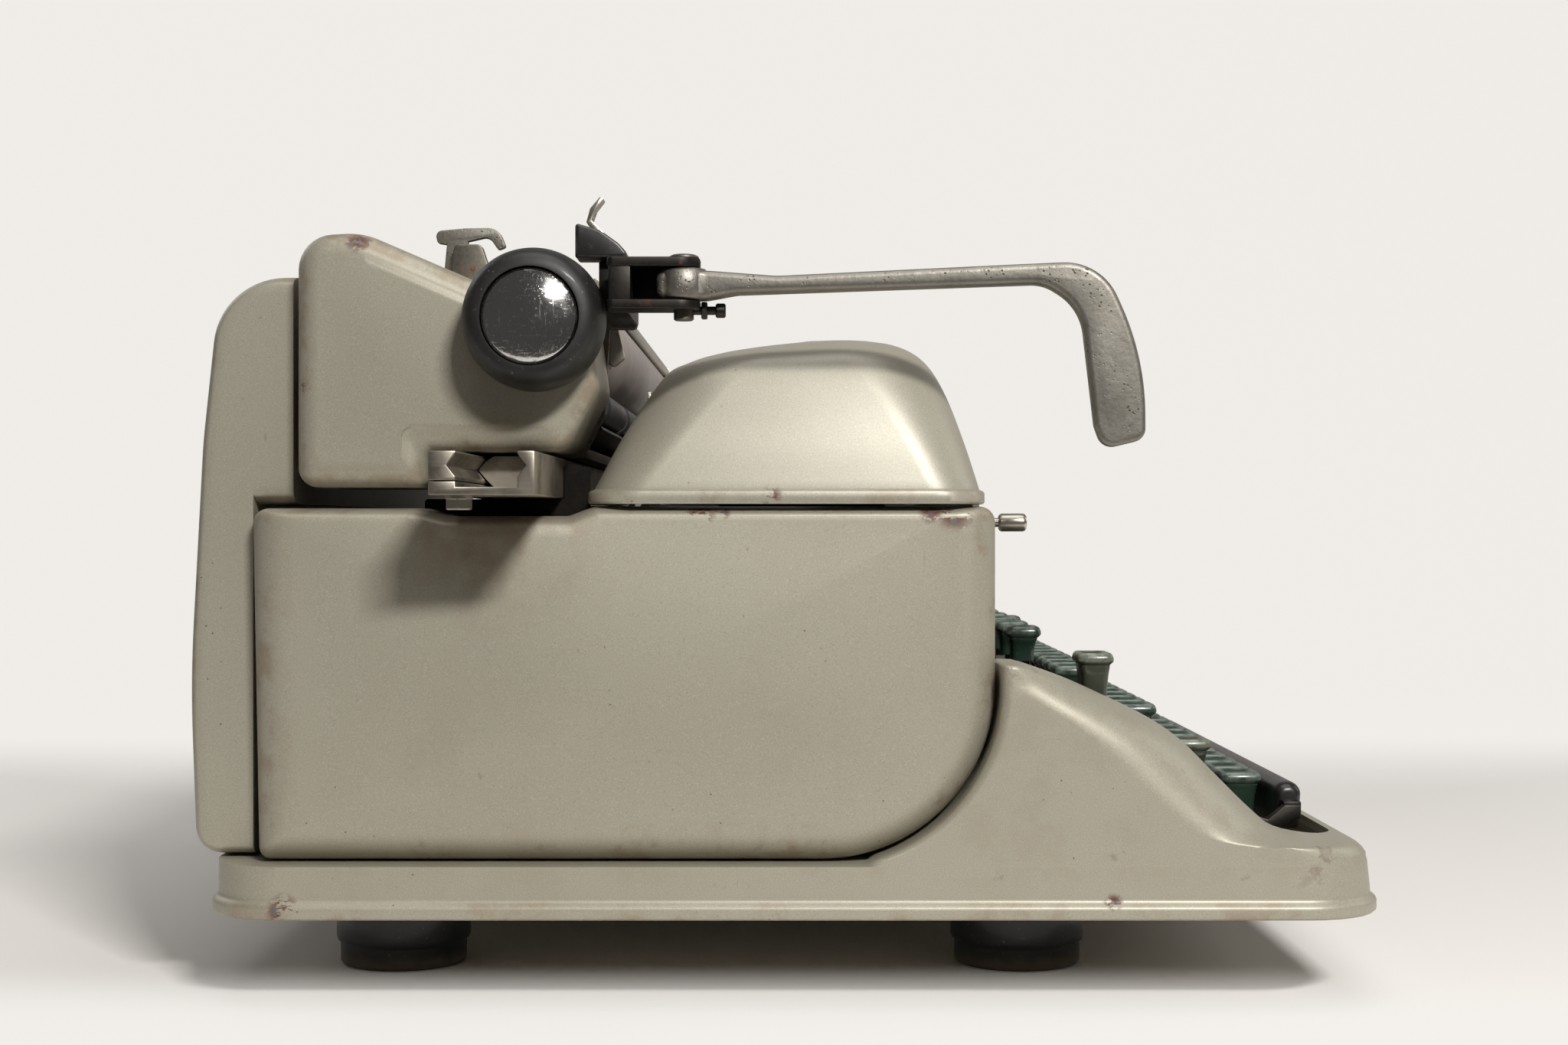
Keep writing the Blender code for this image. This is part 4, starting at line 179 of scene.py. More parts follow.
def painted(name, chips=0.5, spots=(), scratches=(), stain_and_shadow_spots=(), coat=0.3):
    """Satin metallic paint with fine flakes, grime, worn rims, chips down to primer, scratches, and dark patches
    at given spots: stains, and a painted shadow.
    """
    look = Look(name, PAINT, 0.47, 0.3, coat, 0.46)
    look.patches((0.325, 0.298, 0.226), 7, 0.3, 0.75, 0.5)
    look.patches((0.39, 0.366, 0.296), 23, 0.45, 0.75, 0.35, shift=4)
    flakes = look.noise(2600, 1)
    look.cover(look.band(flakes, 0.56, 0.72), (0.425, 0.402, 0.33))
    look.cover(look.band(flakes, 0.42, 0.3), (0.305, 0.282, 0.216))
    look.vary_rough(1400, 0.06)
    look.vary_rough(16, 0.1)
    specks = look.times(look.band(look.cells(240), 0.085, 0.045), look.grain(0.54, 0.6, 31))
    look.cover(specks, (0.14, 0.09, 0.055), 0.6)
    look.cover(look.grain(0.55, 0.75, 14, 5, 0.65, shift=9), (0.3, 0.235, 0.15), amount=0.22)
    edge = look.edges()
    dirt = look.times(edge, look.grain(0.48, 0.62, 55, 6, 0.72, shift=2))
    look.cover(dirt, (0.24, 0.165, 0.095), amount=0.5)
    limit = 0.76 - 0.12 * chips
    broken = look.times(edge, look.grain(limit - 0.02, limit, 70, 8, 0.7, shift=5))
    for point, radius in spots:
        torn = look.grain(0.5, 0.515, 150, 7, 0.7, (1, 0.5, 1), point[1] * 0.01)
        broken = look.sums("MAXIMUM", broken, look.times(look.near(point, radius), torn))
    inner = look.times(broken, look.grain(0.5, 0.54, 420, 5, 0.6, shift=8))
    look.cover(broken, PRIMER, 0.7, -0.05)
    look.cover(inner, BARE_STEEL, 0.5)
    # Dark patches at given spots: stains, and on the left side cover a painted shadow of the rail
    for point, radius in stain_and_shadow_spots:
        stain_and_shadow = look.times(look.near(point, radius), look.grain(0.35, 0.7, 60, 5))
        look.cover(stain_and_shadow, (0.2, 0.13, 0.075), 0.6, amount=0.6)
    for point, radius, stretch in scratches:
        marks = look.times(look.near(point, radius), look.grain(0.66, 0.7, 420, 3, 0.6, stretch, point[2]))
        look.cover(marks, (0.2, 0.16, 0.11), 0.6, -0.03, 0.8)
    look.cover(look.grain(0.76, 0.775, 520, 2, 0.5, (1, 0.35, 0.12), 12), (0.2, 0.17, 0.12), amount=0.4)
    look.raise_by(look.noise(700, 2), 0.012)
    return look.done(0.7)


def metal(
    name, colour, rough, brushed=(1, 1, 1), tarnish=(0.09, 0.08, 0.07), spread=0.5, rust=0.25, pits=0, rim=0.55
):
    look = Look(name, colour, rough, 0.95)
    look.patches(tarnish, 60, 0.42, 0.75, spread)
    look.patches(tuple(part * 1.25 for part in colour), 190, 0.5, 0.8, 0.5, brushed)
    fine = look.noise(900, 2, 0.5, brushed, 6)
    look.rough = look.sums("ADD", rough - 0.12, look.times(fine, 0.24))
    look.raise_by(fine, 0.02)
    look.cover(look.edges(), tuple(min(part * 1.5, 0.8) for part in colour), rough * 0.75, amount=rim)
    if pits:
        holes = look.times(look.band(look.cells(800), 0.3, 0.14), look.grain(0.5, 0.66, 170))
        look.cover(holes, (0.06, 0.055, 0.05), 0.75, -0.35 * pits, 0.75)
        look.raise_by(look.noise(620, 4, 0.6), 0.14 * pits)
    start = 0.68 - 0.3 * rust
    look.cover(look.grain(start, start + 0.12, 85, 6, 0.7, shift=7), RUST, 0.85, 0.04, 0.8)
    return look.done(0.8)


def moulded(name, colour, rim_wear_and_sheen_colour, rough, coat, dust):
    """Glossy moulded plastic with lighter rims, which are wear and on the keys also a painted highlight, hairline
    scratches and a little dust.
    """
    look = Look(name, colour, rough, coat=coat)
    look.patches(tuple(part * 0.55 for part in colour), 110, 0.4, 0.7, 0.6)
    # Lighter rims: wear, and on the green and olive keys a painted highlight along the rim
    look.cover(look.times(look.edges(), look.grain(0.32, 0.6, 260, 4, 0.6)), rim_wear_and_sheen_colour, rough + 0.15)
    look.cover(look.grain(0.56, 0.78, 340, 6, 0.75, shift=3), (0.3, 0.27, 0.22), 0.75, amount=dust)
    look.cover(look.grain(0.7, 0.73, 500, 2, 0.5, (1, 0.12, 0.5), 2), rim_wear_and_sheen_colour, 0.4, amount=0.4)
    look.vary_rough(75, 0.2)
    look.raise_by(look.noise(800, 2), 0.012)
    return look.done(0.6)


def rubber(name, colour, rim_mark=(0.045, 0.046, 0.05), coat=0.06, band=None):
    """Rubber with crumbs, and dust between two heights if asked."""
    look = Look(name, colour, 0.5, coat=coat)
    look.patches(rim_mark, 45, 0.4, 0.75, 0.6)
    look.cover(look.grain(0.62, 0.72, 650, 5, 0.7), (0.27, 0.26, 0.24), 0.8, amount=0.55)
    if band:
        low, high = band
        height = look.node("SeparateXYZ", {0: look.place}, 2)
        ragged = look.sums("ADD", height, look.times(look.noise(160, 5), 0.004))
        look.cover(look.band(ragged, (high + 2) * MM, (low + 2) * MM), (0.14, 0.11, 0.08), 0.85, amount=0.8)
    look.vary_rough(90, 0.25)
    look.raise_by(look.noise(500, 4), 0.05)
    return look.done(0.8)


def chrome(name):
    look = Look(name, (0.6, 0.59, 0.575), 0.1, 1)
    look.cover(look.grain(0.42, 0.72, 60, 6, 0.7), (0.42, 0.41, 0.4), 0.3, amount=0.6)
    for scale, stretch, shift in ((1500, (1, 0.05, 1), 1), (1950, (1, 1, 0.05), 5), (2400, (1, 0.4, 0.3), 9)):
        look.cover(look.grain(0.6, 0.68, scale, 3, 0.6, stretch, shift), (0.8, 0.79, 0.77), 0.4, -0.012, 0.38)
    look.raise_by(look.noise(130, 4, 0.6), 0.1)
    spots = look.times(look.band(look.cells(700), 0.16, 0.08), look.grain(0.5, 0.62, 140))
    look.cover(spots, (0.08, 0.05, 0.035), 0.6, -0.03)
    return look.done(0.8)


CHIP_SPOTS = [
    ((-179, 25.5, 151.8), 5.5), ((-179, 19, 152), 3.5), ((-179, -52, 152.6), 8), ((-178, -45, 151.8), 5),
]
SCRATCHES = [
    ((-182, 8, 150.5), 22, (1, 0.55, 0.16)), ((-182, -26, 150.5), 17, (1, 0.55, 0.16)),
    ((-177, -62, 133), 26, (0.5, 1, 0.07)),
]
# Dark patches on the left side cover: a small stain low at the back, and a soft painted shadow, 40 mm across,
# under the rail's end
STAIN_AND_RAIL_SHADOW_SPOTS = [((-181, 158, 52), 5), ((-181, 90, 150), 40)]
paint_side = painted("paint_side_cover", 0.55, CHIP_SPOTS, SCRATCHES, STAIN_AND_RAIL_SHADOW_SPOTS)
paint_base = painted("paint_base", 0.85, [((-184, -178, 33), 6), ((-184, 152, 31), 6), ((-183, -100, 33), 3.5)])
HOOD_SPOTS = [((-181, 4, 157), 4), ((-181, -58, 156), 4), ((-177, -31, 186), 1.8)]
paint_hood = painted("paint_ribbon_cover", 0.6, HOOD_SPOTS, coat=0.8)
paint_end = painted("paint_end_cover", 0.6, [((-178, 130, 236), 6), ((-178, 148, 190), 3.5)])
paint_rear = painted("paint_rear_cover")
# The inner frame near black: its own dark finish, with painted shade of the machine's dark inside on top
frame_dark_and_shade = metal("frame_near_black_and_shade", (0.022, 0.02, 0.018), 0.85, (1, 1, 1), (0.04, 0.03, 0.022), 0.6, 0.3, rim=0.1)
feet_rubber = rubber("foot_rubber", (0.009, 0.01, 0.012), (0.018, 0.019, 0.021), 0.3, (1, 6))
platen_rubber = rubber("platen_rubber", (0.3, 0.262, 0.24), (0.4, 0.36, 0.335))
roll_rubber = rubber("roll_rubber", (0.02, 0.02, 0.021))
bakelite = moulded("black_bakelite", (0.012, 0.0115, 0.011), (0.07, 0.065, 0.06), 0.36, 0.12, 0.12)
ring_black = rubber("knob_black", (0.011, 0.0105, 0.01), (0.024, 0.022, 0.02))
key_green = moulded("bottle_green_key", (0.017, 0.038, 0.025), (0.14, 0.18, 0.15), 0.3, 0.25, 0.16)
key_olive = moulded("olive_key", (0.046, 0.052, 0.036), (0.2, 0.22, 0.17), 0.32, 0.2, 0.2)
steel = metal("machined_steel", (0.47, 0.44, 0.38), 0.34, (0.25, 1, 6), spread=0.4, rust=0.12)
rail_steel = metal("rail_steel", (0.33, 0.3, 0.25), 0.48, (1, 1, 9), (0.07, 0.055, 0.042), 0.7, 0.26)
worn_steel = metal("worn_steel", (0.17, 0.155, 0.13), 0.46, spread=0.6, rust=0.42)
dark_steel = metal("dark_steel", (0.035, 0.032, 0.029), 0.48, tarnish=(0.06, 0.05, 0.042), rust=0.26)
cast = metal("cast_lever", (0.25, 0.235, 0.205), 0.52, (1, 1, 1), (0.12, 0.11, 0.09), 0.5, 0.1, 0.7, 0.15)
bell_metal = metal("bell_metal", (0.5, 0.43, 0.3), 0.28, (1, 1, 0.3), spread=0.45, rust=0.1)
bright = chrome("scratched_chrome")
inked = rubber("inked_ribbon", (0.01, 0.01, 0.013))


# Shapes. Each returns a mesh in millimetres that carries the two edge marks, rim and cut: the materials turn them
# into wear, and on the keys also into a painted highlight.


def polar(radius, turn):
    return radius * cos(turn), radius * sin(turn)


def circle(radius, count, first=0):
    return [polar(radius, first + 2 * pi * step / count) for step in range(count)]


def arc(radius, degrees):
    return [polar(radius, radians(turn)) for turn in degrees]


def stood(centre, axis):
    """The matrix that puts a shape made along Z at a centre, along an axis."""
    turn = Vector((0, 0, 1)).rotation_difference(Vector(axis))
    return Matrix.Translation(Vector(centre)) @ turn.to_matrix().to_4x4()


def moved(mesh, matrix):
    mesh.transform(matrix)
    return mesh


def layers(shape):
    rim = shape.verts.layers.float.get("rim") or shape.verts.layers.float.new("rim")
    cut = shape.faces.layers.float.get("cut") or shape.faces.layers.float.new("cut")
    return rim, cut


def as_mesh(shape):
    mesh = bpy.data.meshes.new("shape")
    shape.to_mesh(mesh)
    shape.free()
    return mesh


def meshed(shape):
    layers(shape)
    bmesh.ops.recalc_face_normals(shape, faces=shape.faces)
    return as_mesh(shape)


def join(*meshes):
    shape = bmesh.new()
    layers(shape)
    for mesh in meshes:
        shape.from_mesh(mesh)
    return as_mesh(shape)


def placed(name, data):
    made = bpy.data.objects.new(name, data)
    bpy.context.scene.collection.objects.link(made)
    return made


def changed(mesh, kind, settings):
    """The mesh after one modifier."""
    holder = placed("holder", mesh)
    modifier = holder.modifiers.new(kind, kind)
    for key, value in settings.items():
        setattr(modifier, key, value)
    bpy.context.view_layer.update()
    graph = bpy.context.evaluated_depsgraph_get()
    made = bpy.data.meshes.new_from_object(holder.evaluated_get(graph))
    bpy.data.objects.remove(holder)
    return made


def carve(mesh, *cutters, crossed=False):
    """Cuts each shape out of the mesh; crossed says that the mesh's own parts run into each other."""
    for cutter in cutters:
        tool = placed("tool", cutter)
        cut = {"operation": "DIFFERENCE", "solver": "EXACT", "object": tool, "use_self": crossed}
        mesh = changed(mesh, "BOOLEAN", cut)
        bpy.data.objects.remove(tool)
    return mesh


def soften(mesh, width, segments=2, angle=32):
    shape = bmesh.new()
    shape.from_mesh(mesh)
    _, cut = layers(shape)
    limit = radians(angle)
    edges = [edge for edge in shape.edges if len(edge.link_faces) == 2 and edge.calc_face_angle(0.0) > limit]
    made = bmesh.ops.bevel(
        shape, geom=edges, offset=width, segments=segments, profile=0.5, affect="EDGES", clamp_overlap=True
    )
    for face in made["faces"]:
        face[cut] = 1.0
    return meshed(shape)


def box(low, high, soft=0):
    shape = bmesh.new()
    bmesh.ops.create_cube(shape, size=1.0)
    low, high = Vector(low), Vector(high)
    bmesh.ops.scale(shape, vec=high - low, verts=shape.verts)
    bmesh.ops.translate(shape, vec=(low + high) / 2, verts=shape.verts)
    mesh = meshed(shape)
    return soften(mesh, soft) if soft else mesh


def turned(profile, centre, axis, steps=48, rims=()):
    """A turned solid from (radius, height) pairs that start and end on the axis or close on themselves."""
    shape = bmesh.new()
    rim, _ = layers(shape)
    rings = []
    for index, (radius, height) in enumerate(profile):
        rings.append([shape.verts.new((*spot, height)) for spot in circle(radius, steps if radius else 1)])
        for vertex in rings[-1]:
            vertex[rim] = 1.0 if index in rims else 0.0
    pairs = list(zip(rings, rings[1:]))
    if profile[0][0] and profile[-1][0]:
        pairs.append((rings[-1], rings[0]))
    for above, below in pairs:
        for step in range(steps):
            picks = ((above, step), (above, step + 1), (below, step + 1), (below, step))
            corners = list(dict.fromkeys(ring[spot % len(ring)] for ring, spot in picks))
            if len(corners) > 2:
                shape.faces.new(corners)
    bmesh.ops.transform(shape, matrix=stood(centre, axis), verts=shape.verts)
    return meshed(shape)


PUT = {
    "X": lambda across, along, depth: (depth, across, along),
    "Y": lambda across, along, depth: (across, depth, along),
    "Z": lambda across, along, depth: (across, along, depth),
}


def rod(axis, spot, start, end, radius, sides=20, soft=0):
    """A round bar along one axis, at a spot given by the other two."""
    start, end = (Vector(PUT[axis](*spot, depth)) for depth in (start, end))
    length = (end - start).length
    side = [(radius, soft), (radius, length - soft)]
    if soft:
        side = [(radius - soft, 0), *side, (radius - soft, length)]
    return turned([(0, 0), *side, (0, length)], start, end - start, sides, (1, 2, 3, 4) if soft else ())


def rounded(corners, steps=6):
    """An outline from (across, along, radius) corners; a fourth value sets that arc's own steps."""
    points = []
    count = len(corners)
    for index, (across, along, radius, *own) in enumerate(corners):
        here = Vector((across, along))
        if radius <= 0:
            points.append((across, along))
            continue
        before = (Vector(corners[index - 1][:2]) - here).normalized()
        after = (Vector(corners[(index + 1) % count][:2]) - here).normalized()
        half = before.angle(after) / 2
        centre = here + (before + after).normalized() * (radius / sin(half))
        start = here + before * (radius / tan(half)) - centre
        sweep = start.angle_signed(here + after * (radius / tan(half)) - centre)
        bends = own[0] if own else steps
        points += [tuple(centre + Matrix.Rotation(-sweep * step / bends, 2) @ start) for step in range(bends + 1)]
    return points


def drawn_in(corners, distance, least=0.4):
    """Corners moved inwards; a radius gets smaller, though not below the least one."""
    points = [Vector(corner[:2]) for corner in corners]
    following = points[1:] + points[:1]
    area = sum(point.x * after.y - after.x * point.y for point, after in zip(points, following))
    side = 1 if area > 0 else -1
    inner = []
    for index, (point, after) in enumerate(zip(points, following)):
        coming = (point - points[index - 1]).normalized()
        going = (after - point).normalized()
        first = Vector((-coming.y, coming.x)) * side
        normal = (first + Vector((-going.y, going.x)) * side).normalized()
        spot = point + normal * distance / max(normal.dot(first), 0.2)
        radius = corners[index][2]
        if (coming.x * going.y - coming.y * going.x) * side > 0:
            radius = max(radius - distance, min(radius, least))
        inner.append((spot.x, spot.y, radius, *corners[index][3:]))
    return inner


def shrunk(outline, middle, share):
    centre = Vector(middle)
    return [tuple(centre + (Vector(point) - centre) * share) for point in outline]


def loft(rings, rim_marks=None, open_start=False):
    shape = bmesh.new()
    rim, _ = layers(shape)
    made = [[shape.verts.new(point) for point in ring] for ring in rings]
    for ring, rim_mark in zip(made, rim_marks or [0] * len(rings)):
        for vertex in ring:
            vertex[rim] = float(rim_mark)
    count = len(rings[0])
    for lower, upper in zip(made, made[1:]):
        for index in range(count):
            after = (index + 1) % count
            shape.faces.new((lower[index], lower[after], upper[after], upper[index]))
    first = shape.faces.new(reversed(made[0]))
    shape.faces.new(made[-1])
    bmesh.ops.recalc_face_normals(shape, faces=shape.faces)
    if open_start:
        shape.faces.remove(first)
    return as_mesh(shape)


def stacked(axis, levels, rim_marks=None):
    """A loft through outlines at depths along an axis."""
    return loft([[PUT[axis](*point, depth) for point in outline] for outline, depth in levels], rim_marks)


def plate(outline, axis, low, high, soft=0):
    mesh = stacked(axis, ((outline, low), (outline, high)))
    return soften(mesh, soft) if soft else mesh


def pillow(corners, axis, low, high, edge, steps=6, bends=3):
    """A plate with rounded rims on both faces."""
    levels, rim_marks = [], []
    turns = [90 - 90 * step / bends for step in range(bends + 1)]
    for side, face in ((-1, low), (1, high)):
        for degrees in turns if side < 0 else turns[::-1]:
            turn = radians(degrees)
            outline = rounded(drawn_in(corners, edge * (1 - cos(turn))), steps)
            levels.append((outline, face - side * edge * (1 - sin(turn))))
            rim_marks.append(0 if degrees in (0, 90) else 1)
    return stacked(axis, levels, rim_marks)


def crowned(corners, middle, open_x, face_x, edge, crown, open_start=True, top_edge=None):
    """A tray: straight sides, a rounded rim, tighter along the top if asked, and a gently crowned face."""
    sign = 1 if face_x > open_x else -1
    outline = rounded(corners, 8)
    sides = ((open_x, 0.25), (face_x - sign * (edge + 3), 0), (face_x - sign * edge, 0.1))
    rings = [(outline, spot, rim_mark) for spot, rim_mark in sides]
    for degrees in range(10, 91, 10):
        turn = radians(degrees)
        rim = rounded(drawn_in(corners, edge * (1 - cos(turn)), 2.4), 8)
        if top_edge is not None:
            low, high = (pick(along for _, along in rim) for pick in (min, max))
            taller = 1 + (edge - top_edge) * (1 - cos(turn)) / (high - low)
            rim = [(across, low + (along - low) * taller) for across, along in rim]
        rings.append((rim, face_x - sign * edge * (1 - sin(turn)), 1 if 20 <= degrees <= 60 else 0.25))
    inward = (0.97, 0.93, 0.88, 0.8, 0.7, 0.6, 0.5, 0.4, 0.3, 0.2, 0.1, 0.03)
    rings += [(shrunk(rim, middle, share), face_x, 0) for share in inward]
    shapes = [[[spot, *point] for point in ring] for ring, spot, _ in rings]
    lows, highs = [min(side) for side in zip(*rim)], [max(side) for side in zip(*rim)]
    for point in (point for ring in shapes[-len(inward):] for point in ring):
        spread = [(2 * spot - low - high) / (high - low) for spot, low, high in zip(point[1:], lows, highs)]
        point[0] += sign * crown * (1 - min(spread[0] ** 2, 1)) * (1 - min(spread[1] ** 2, 1))
    return loft(shapes, [rim_mark for *_, rim_mark in rings], open_start)


def rect(left, front, right, back, radius, back_radius):
    return [(left, front, radius), (right, front, radius), (right, back, back_radius), (left, back, back_radius)]


def plan_ring(front, back, half, radius, height, back_radius=None, steps=8):
    back_radius = radius if back_radius is None else back_radius
    share = min(1, (back - front - 0.2) / (radius + back_radius))
    corners = rect(-half, front, half, back, radius * share, back_radius * share)
    return [(across, along, height) for across, along in rounded(corners, steps)]


def between(rows, count):
    """Rows of numbers with more rows in between, on a smooth curve through them."""
    made = []
    for index in range(len(rows) - 1):
        four = [rows[min(max(index + step, 0), len(rows) - 1)] for step in (-1, 0, 1, 2)]
        for t in (step / count for step in range(count)):
            made.append(tuple(
                0.5 * (2 * q + (r - p) * t + (2 * p - 5 * q + 4 * r - s) * t**2 + (3 * q - p - 3 * r + s) * t**3)
                for p, q, r, s in zip(*four)
            ))
    return made + [rows[-1]]


def screw(centre, axis, radius, height, slot_turn=0.6):
    """A domed screw head with a slot cut across it."""
    profile = [(0, height), (radius * 0.6, height * 0.92), (radius * 0.9, height * 0.6), (radius, 0), (0, 0)]
    head = turned(profile, (0, 0, 0), (0, 0, 1), 20, rims=(2,))
    blade = box((-radius * 1.2, -radius * 0.16, height * 0.55), (radius * 1.2, radius * 0.16, height * 1.3))
    return moved(carve(head, moved(blade, Matrix.Rotation(slot_turn, 4, "Z"))), stood(centre, axis))


def piece(name, mesh, look, body, node=None, crease=38):
    mesh.transform(Matrix.Scale(MM, 4) @ Matrix.Translation(ORIGIN))
    mesh.materials.clear()
    mesh.materials.append(look)
    mesh.polygons.foreach_set("material_index", [0] * len(mesh.polygons))
    mesh.shade_smooth()
    mesh.set_sharp_from_angle(angle=radians(crease))
    made = placed(name, mesh)
    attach(made, body)
    if node:
        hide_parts(node)
    return made


# Base, feet and covers


HOOD_FRONT, HOOD_BACK, HOOD_LOW, HOOD_RISE = -62.5, 61, 154.3, 54.7


def seam_back(height):
    """Where the base meets the side covers' round lower front corner."""
    radius, middle_y, middle_z = 55, -11.5, 98.3
    if height >= middle_z:
        return -66.5
    return middle_y - sqrt(radius**2 - min(middle_z - height, radius) ** 2)


# The wing's front edge: share of its height, share of its depth, radius of its side
WING = (
    (0.03, 0.012, 24), (0.068, 0.028, 24), (0.09, 0.056, 24), (0.098, 0.14, 25), (0.137, 0.245, 26),
    (0.234, 0.314, 27), (0.406, 0.406, 28), (0.577, 0.498, 28), (0.697, 0.59, 27), (0.803, 0.704, 24),
    (0.9, 0.819, 19), (0.976, 0.933, 8),
)
# The base's bottom flange: how far it stands out, its height, its wear
FLANGE = (
    (1.3, 28, 1), (2, 28.7, 1), (2, 31.2, 0.4), (1.6, 32.2, 0.8), (0.7, 32.8, 0.6), (0.1, 33.4, 0.2), (0, 34.2, 0),
    (0, 35, 0),
)


def base_skin(wall):
    half, front, back, corner, deck = 183 - wall, wall - 183.5, 177 - wall, 24 - wall, 44 - wall
    if wall:
        rings, rim_marks = [plan_ring(front, back, half, corner, 28 + wall)], [0]
    else:
        rings = [plan_ring(front - out, back + out, half + out, corner + out, height) for out, height, _ in FLANGE]
        rim_marks = [rim_mark for *_, rim_mark in FLANGE]
    rings.append(plan_ring(front + 1, back, half, corner, deck - 0.02))
    rings.append(plan_ring(front + 1.2, seam_back(deck + 1.2) - wall, half, corner, deck, 3))
    rim_marks += [0.3, 0]
    levels = [(44 + 62 * up, -183.5 + 116.5 * along, radius) for up, along, radius in between(WING, 4)]
    for height, edge, radius in levels:
        rear = seam_back(height) - wall
        if height - wall > deck + 1.5 and rear - edge - wall > 3:
            rings.append(plan_ring(edge + wall, rear, half, radius, height - wall, 3))
            rim_marks.append(0.25)
    if not wall:
        height, edge, radius = levels[-1]
        for drop, rise in ((0.5, 0.45), (1.4, 0.75)):
            behind = seam_back(height) - drop
            rings.append(plan_ring(edge + drop + 1.5, behind, half - drop, radius - 1, height + rise, 2))
            rim_marks.append(0.6)
    return loft(rings, rim_marks)


def make_base():
    well_back, floor, above = -63.5, 30.5, 116
    well = loft([plan_ring(-175.5, well_back, 153, 12, height) for height in (floor, above)])
    opening = loft([plan_ring(well_back - 8, 150, 149, 6, height) for height in (floor, above)])
    base = carve(base_skin(0), base_skin(2.5), well, opening)
    made = piece("base_shell", base, paint_base, "machine", "base", crease=48)
    # Keeps its wide flat faces flat where they meet narrow ones
    made.modifiers.new("even", "WEIGHTED_NORMAL").keep_sharp = True


def make_feet():
    profile = [
        (0, 27.7), (18.4, 27.7), (19.6, 25.2), (21.2, 22.6), (22.1, 20.4), (22.5, 18), (22.5, 9.4), (22.1, 8.2),
        (21.4, 7.6), (21.2, 7), (21.1, 1.2), (20.5, 0.3), (19.7, 0), (0, 0),
    ]
    for side, sign in SIDES.items():
        for end, spot in (("front", -79), ("rear", 129)):
            foot = turned(profile, (sign * 104, spot, 0), (0, 0, 1), 64)
            piece(f"foot_{end}_{side}_pad", foot, feet_rubber, "machine", f"foot_{end}_{side}")


def make_side_covers():
    top, dip, bottom = 153.6, 150.6, 44.3
    corners = [
        (164.5, top - 0.6, 5), (162.5, bottom, 4), (-65.5, bottom, 54, 26), (-65.5, top, 5), (58.7, top, 6),
        (66.7, dip, 6), (102.9, dip, 6), (112.9, top - 0.6, 6),
    ]
    wall = {"thickness": 2.2, "offset": -1, "use_even_offset": True}
    for side, sign in SIDES.items():
        skin = crowned(corners, (49.5, (bottom + top) / 2), sign * 150, sign * 179.8, 12, 4, top_edge=3)
        cover = changed(skin, "SOLIDIFY", wall)
        piece(f"side_shell_{side}", cover, paint_side, "machine", f"side_cover_{side}")


def make_rear_cover():
    bottom, lap, behind, top, back, half = 44.3, 154.3, 165.5, 226, 187, 165
    hind = [
        (back - 2, bottom, 9, 10), (back, (bottom + lap) / 2, 400, 12), (back - 4, lap + 20, 200, 12),
        (back - 9.5, top, 23, 14),
    ]

    def outline(inset, held=0):
        """The cover's side view, drawn in, with its front edges held where they are."""
        front = ((153, top), (153, lap), (behind, lap), (behind, bottom))
        return rounded(drawn_in([(along - held, height, 0) for along, height in front] + hind, inset))

    skin = [(outline(6, 6), -half, 0)]
    for degrees in range(0, 91, 10):
        turn = radians(degrees)
        inset = 3.6 * (1 - sin(turn))
        skin.append((outline(inset, inset), 12 * (1 - cos(turn)) - half, 1 if 20 <= degrees <= 60 else 0.3))
    skin += [(ring, -spot, rim_mark) for ring, spot, rim_mark in reversed(skin)]
    cover = stacked("X", [level[:2] for level in skin], [rim_mark for *_, rim_mark in skin])
    inner = half - 3.7
    hollow = plate(outline(2.2), "X", -inner, inner)
    door = box((6 - inner, behind - 5, bottom + 8), (inner - 6, behind + 4.2, lap - 12))
    piece("rear_shell", carve(cover, hollow, door), paint_rear, "machine", "rear_cover")


def hood(wall):
    # How far each ring lies up and in: front edge, rear edge, sides
    foot = [
        (0, 0.4, 0, 0.4, 0.4), (0.012, 0, 0.012, 0, 0), (0.06, 0, 0.06, 0, 0), (0.072, 0.25, 0.072, 0.4, 0.3),
        (0.078, 1, 0.078, 1.2, 1), (0.084, 1.5, 0.084, 1.8, 1.5),
    ]
    upper = (
        (0.1, 1.7, 0.1, 2.2, 1.6), (0.35, 5.6, 0.35, 9, 4.6), (0.62, 10.6, 0.57, 16, 9),
        (0.81, 16, 0.76, 23, 13.4), (0.92, 23, 0.83, 28.5, 19), (0.98, 33, 0.9, 38, 32), (1, 52, 0.95, 56, 56),
    )
    rings, rim_marks = [], []
    for index, (front_up, ahead, back_up, behind, aside) in enumerate(foot + between(upper, 5)):
        first, last = HOOD_FRONT + ahead + wall, HOOD_BACK - behind - wall
        slope = HOOD_RISE * (back_up - front_up) / (last - first)
        floor = HOOD_LOW - wall + HOOD_RISE * front_up
        ring = plan_ring(first, last, 181 - aside - wall, 16 + 13 * front_up - wall, 0, steps=14)
        rings.append([(across, along, floor + (along - first) * slope) for across, along, _ in ring])
        rim_marks.append(0.8 if index < 5 else 0)
    return loft(rings, rim_marks)


def make_ribbon_cover():
    notch = loft([plan_ring(-12, HOOD_BACK + 30, 48, 8, height) for height in (HOOD_LOW - 5, 219)])
    groove = rod("X", (-62.8, 154.6), -130.3, 130.3, 1.7, 16)
    piece("ribbon_shell", carve(hood(0), hood(2.2), notch, groove), paint_hood, "cover", "ribbon_cover")


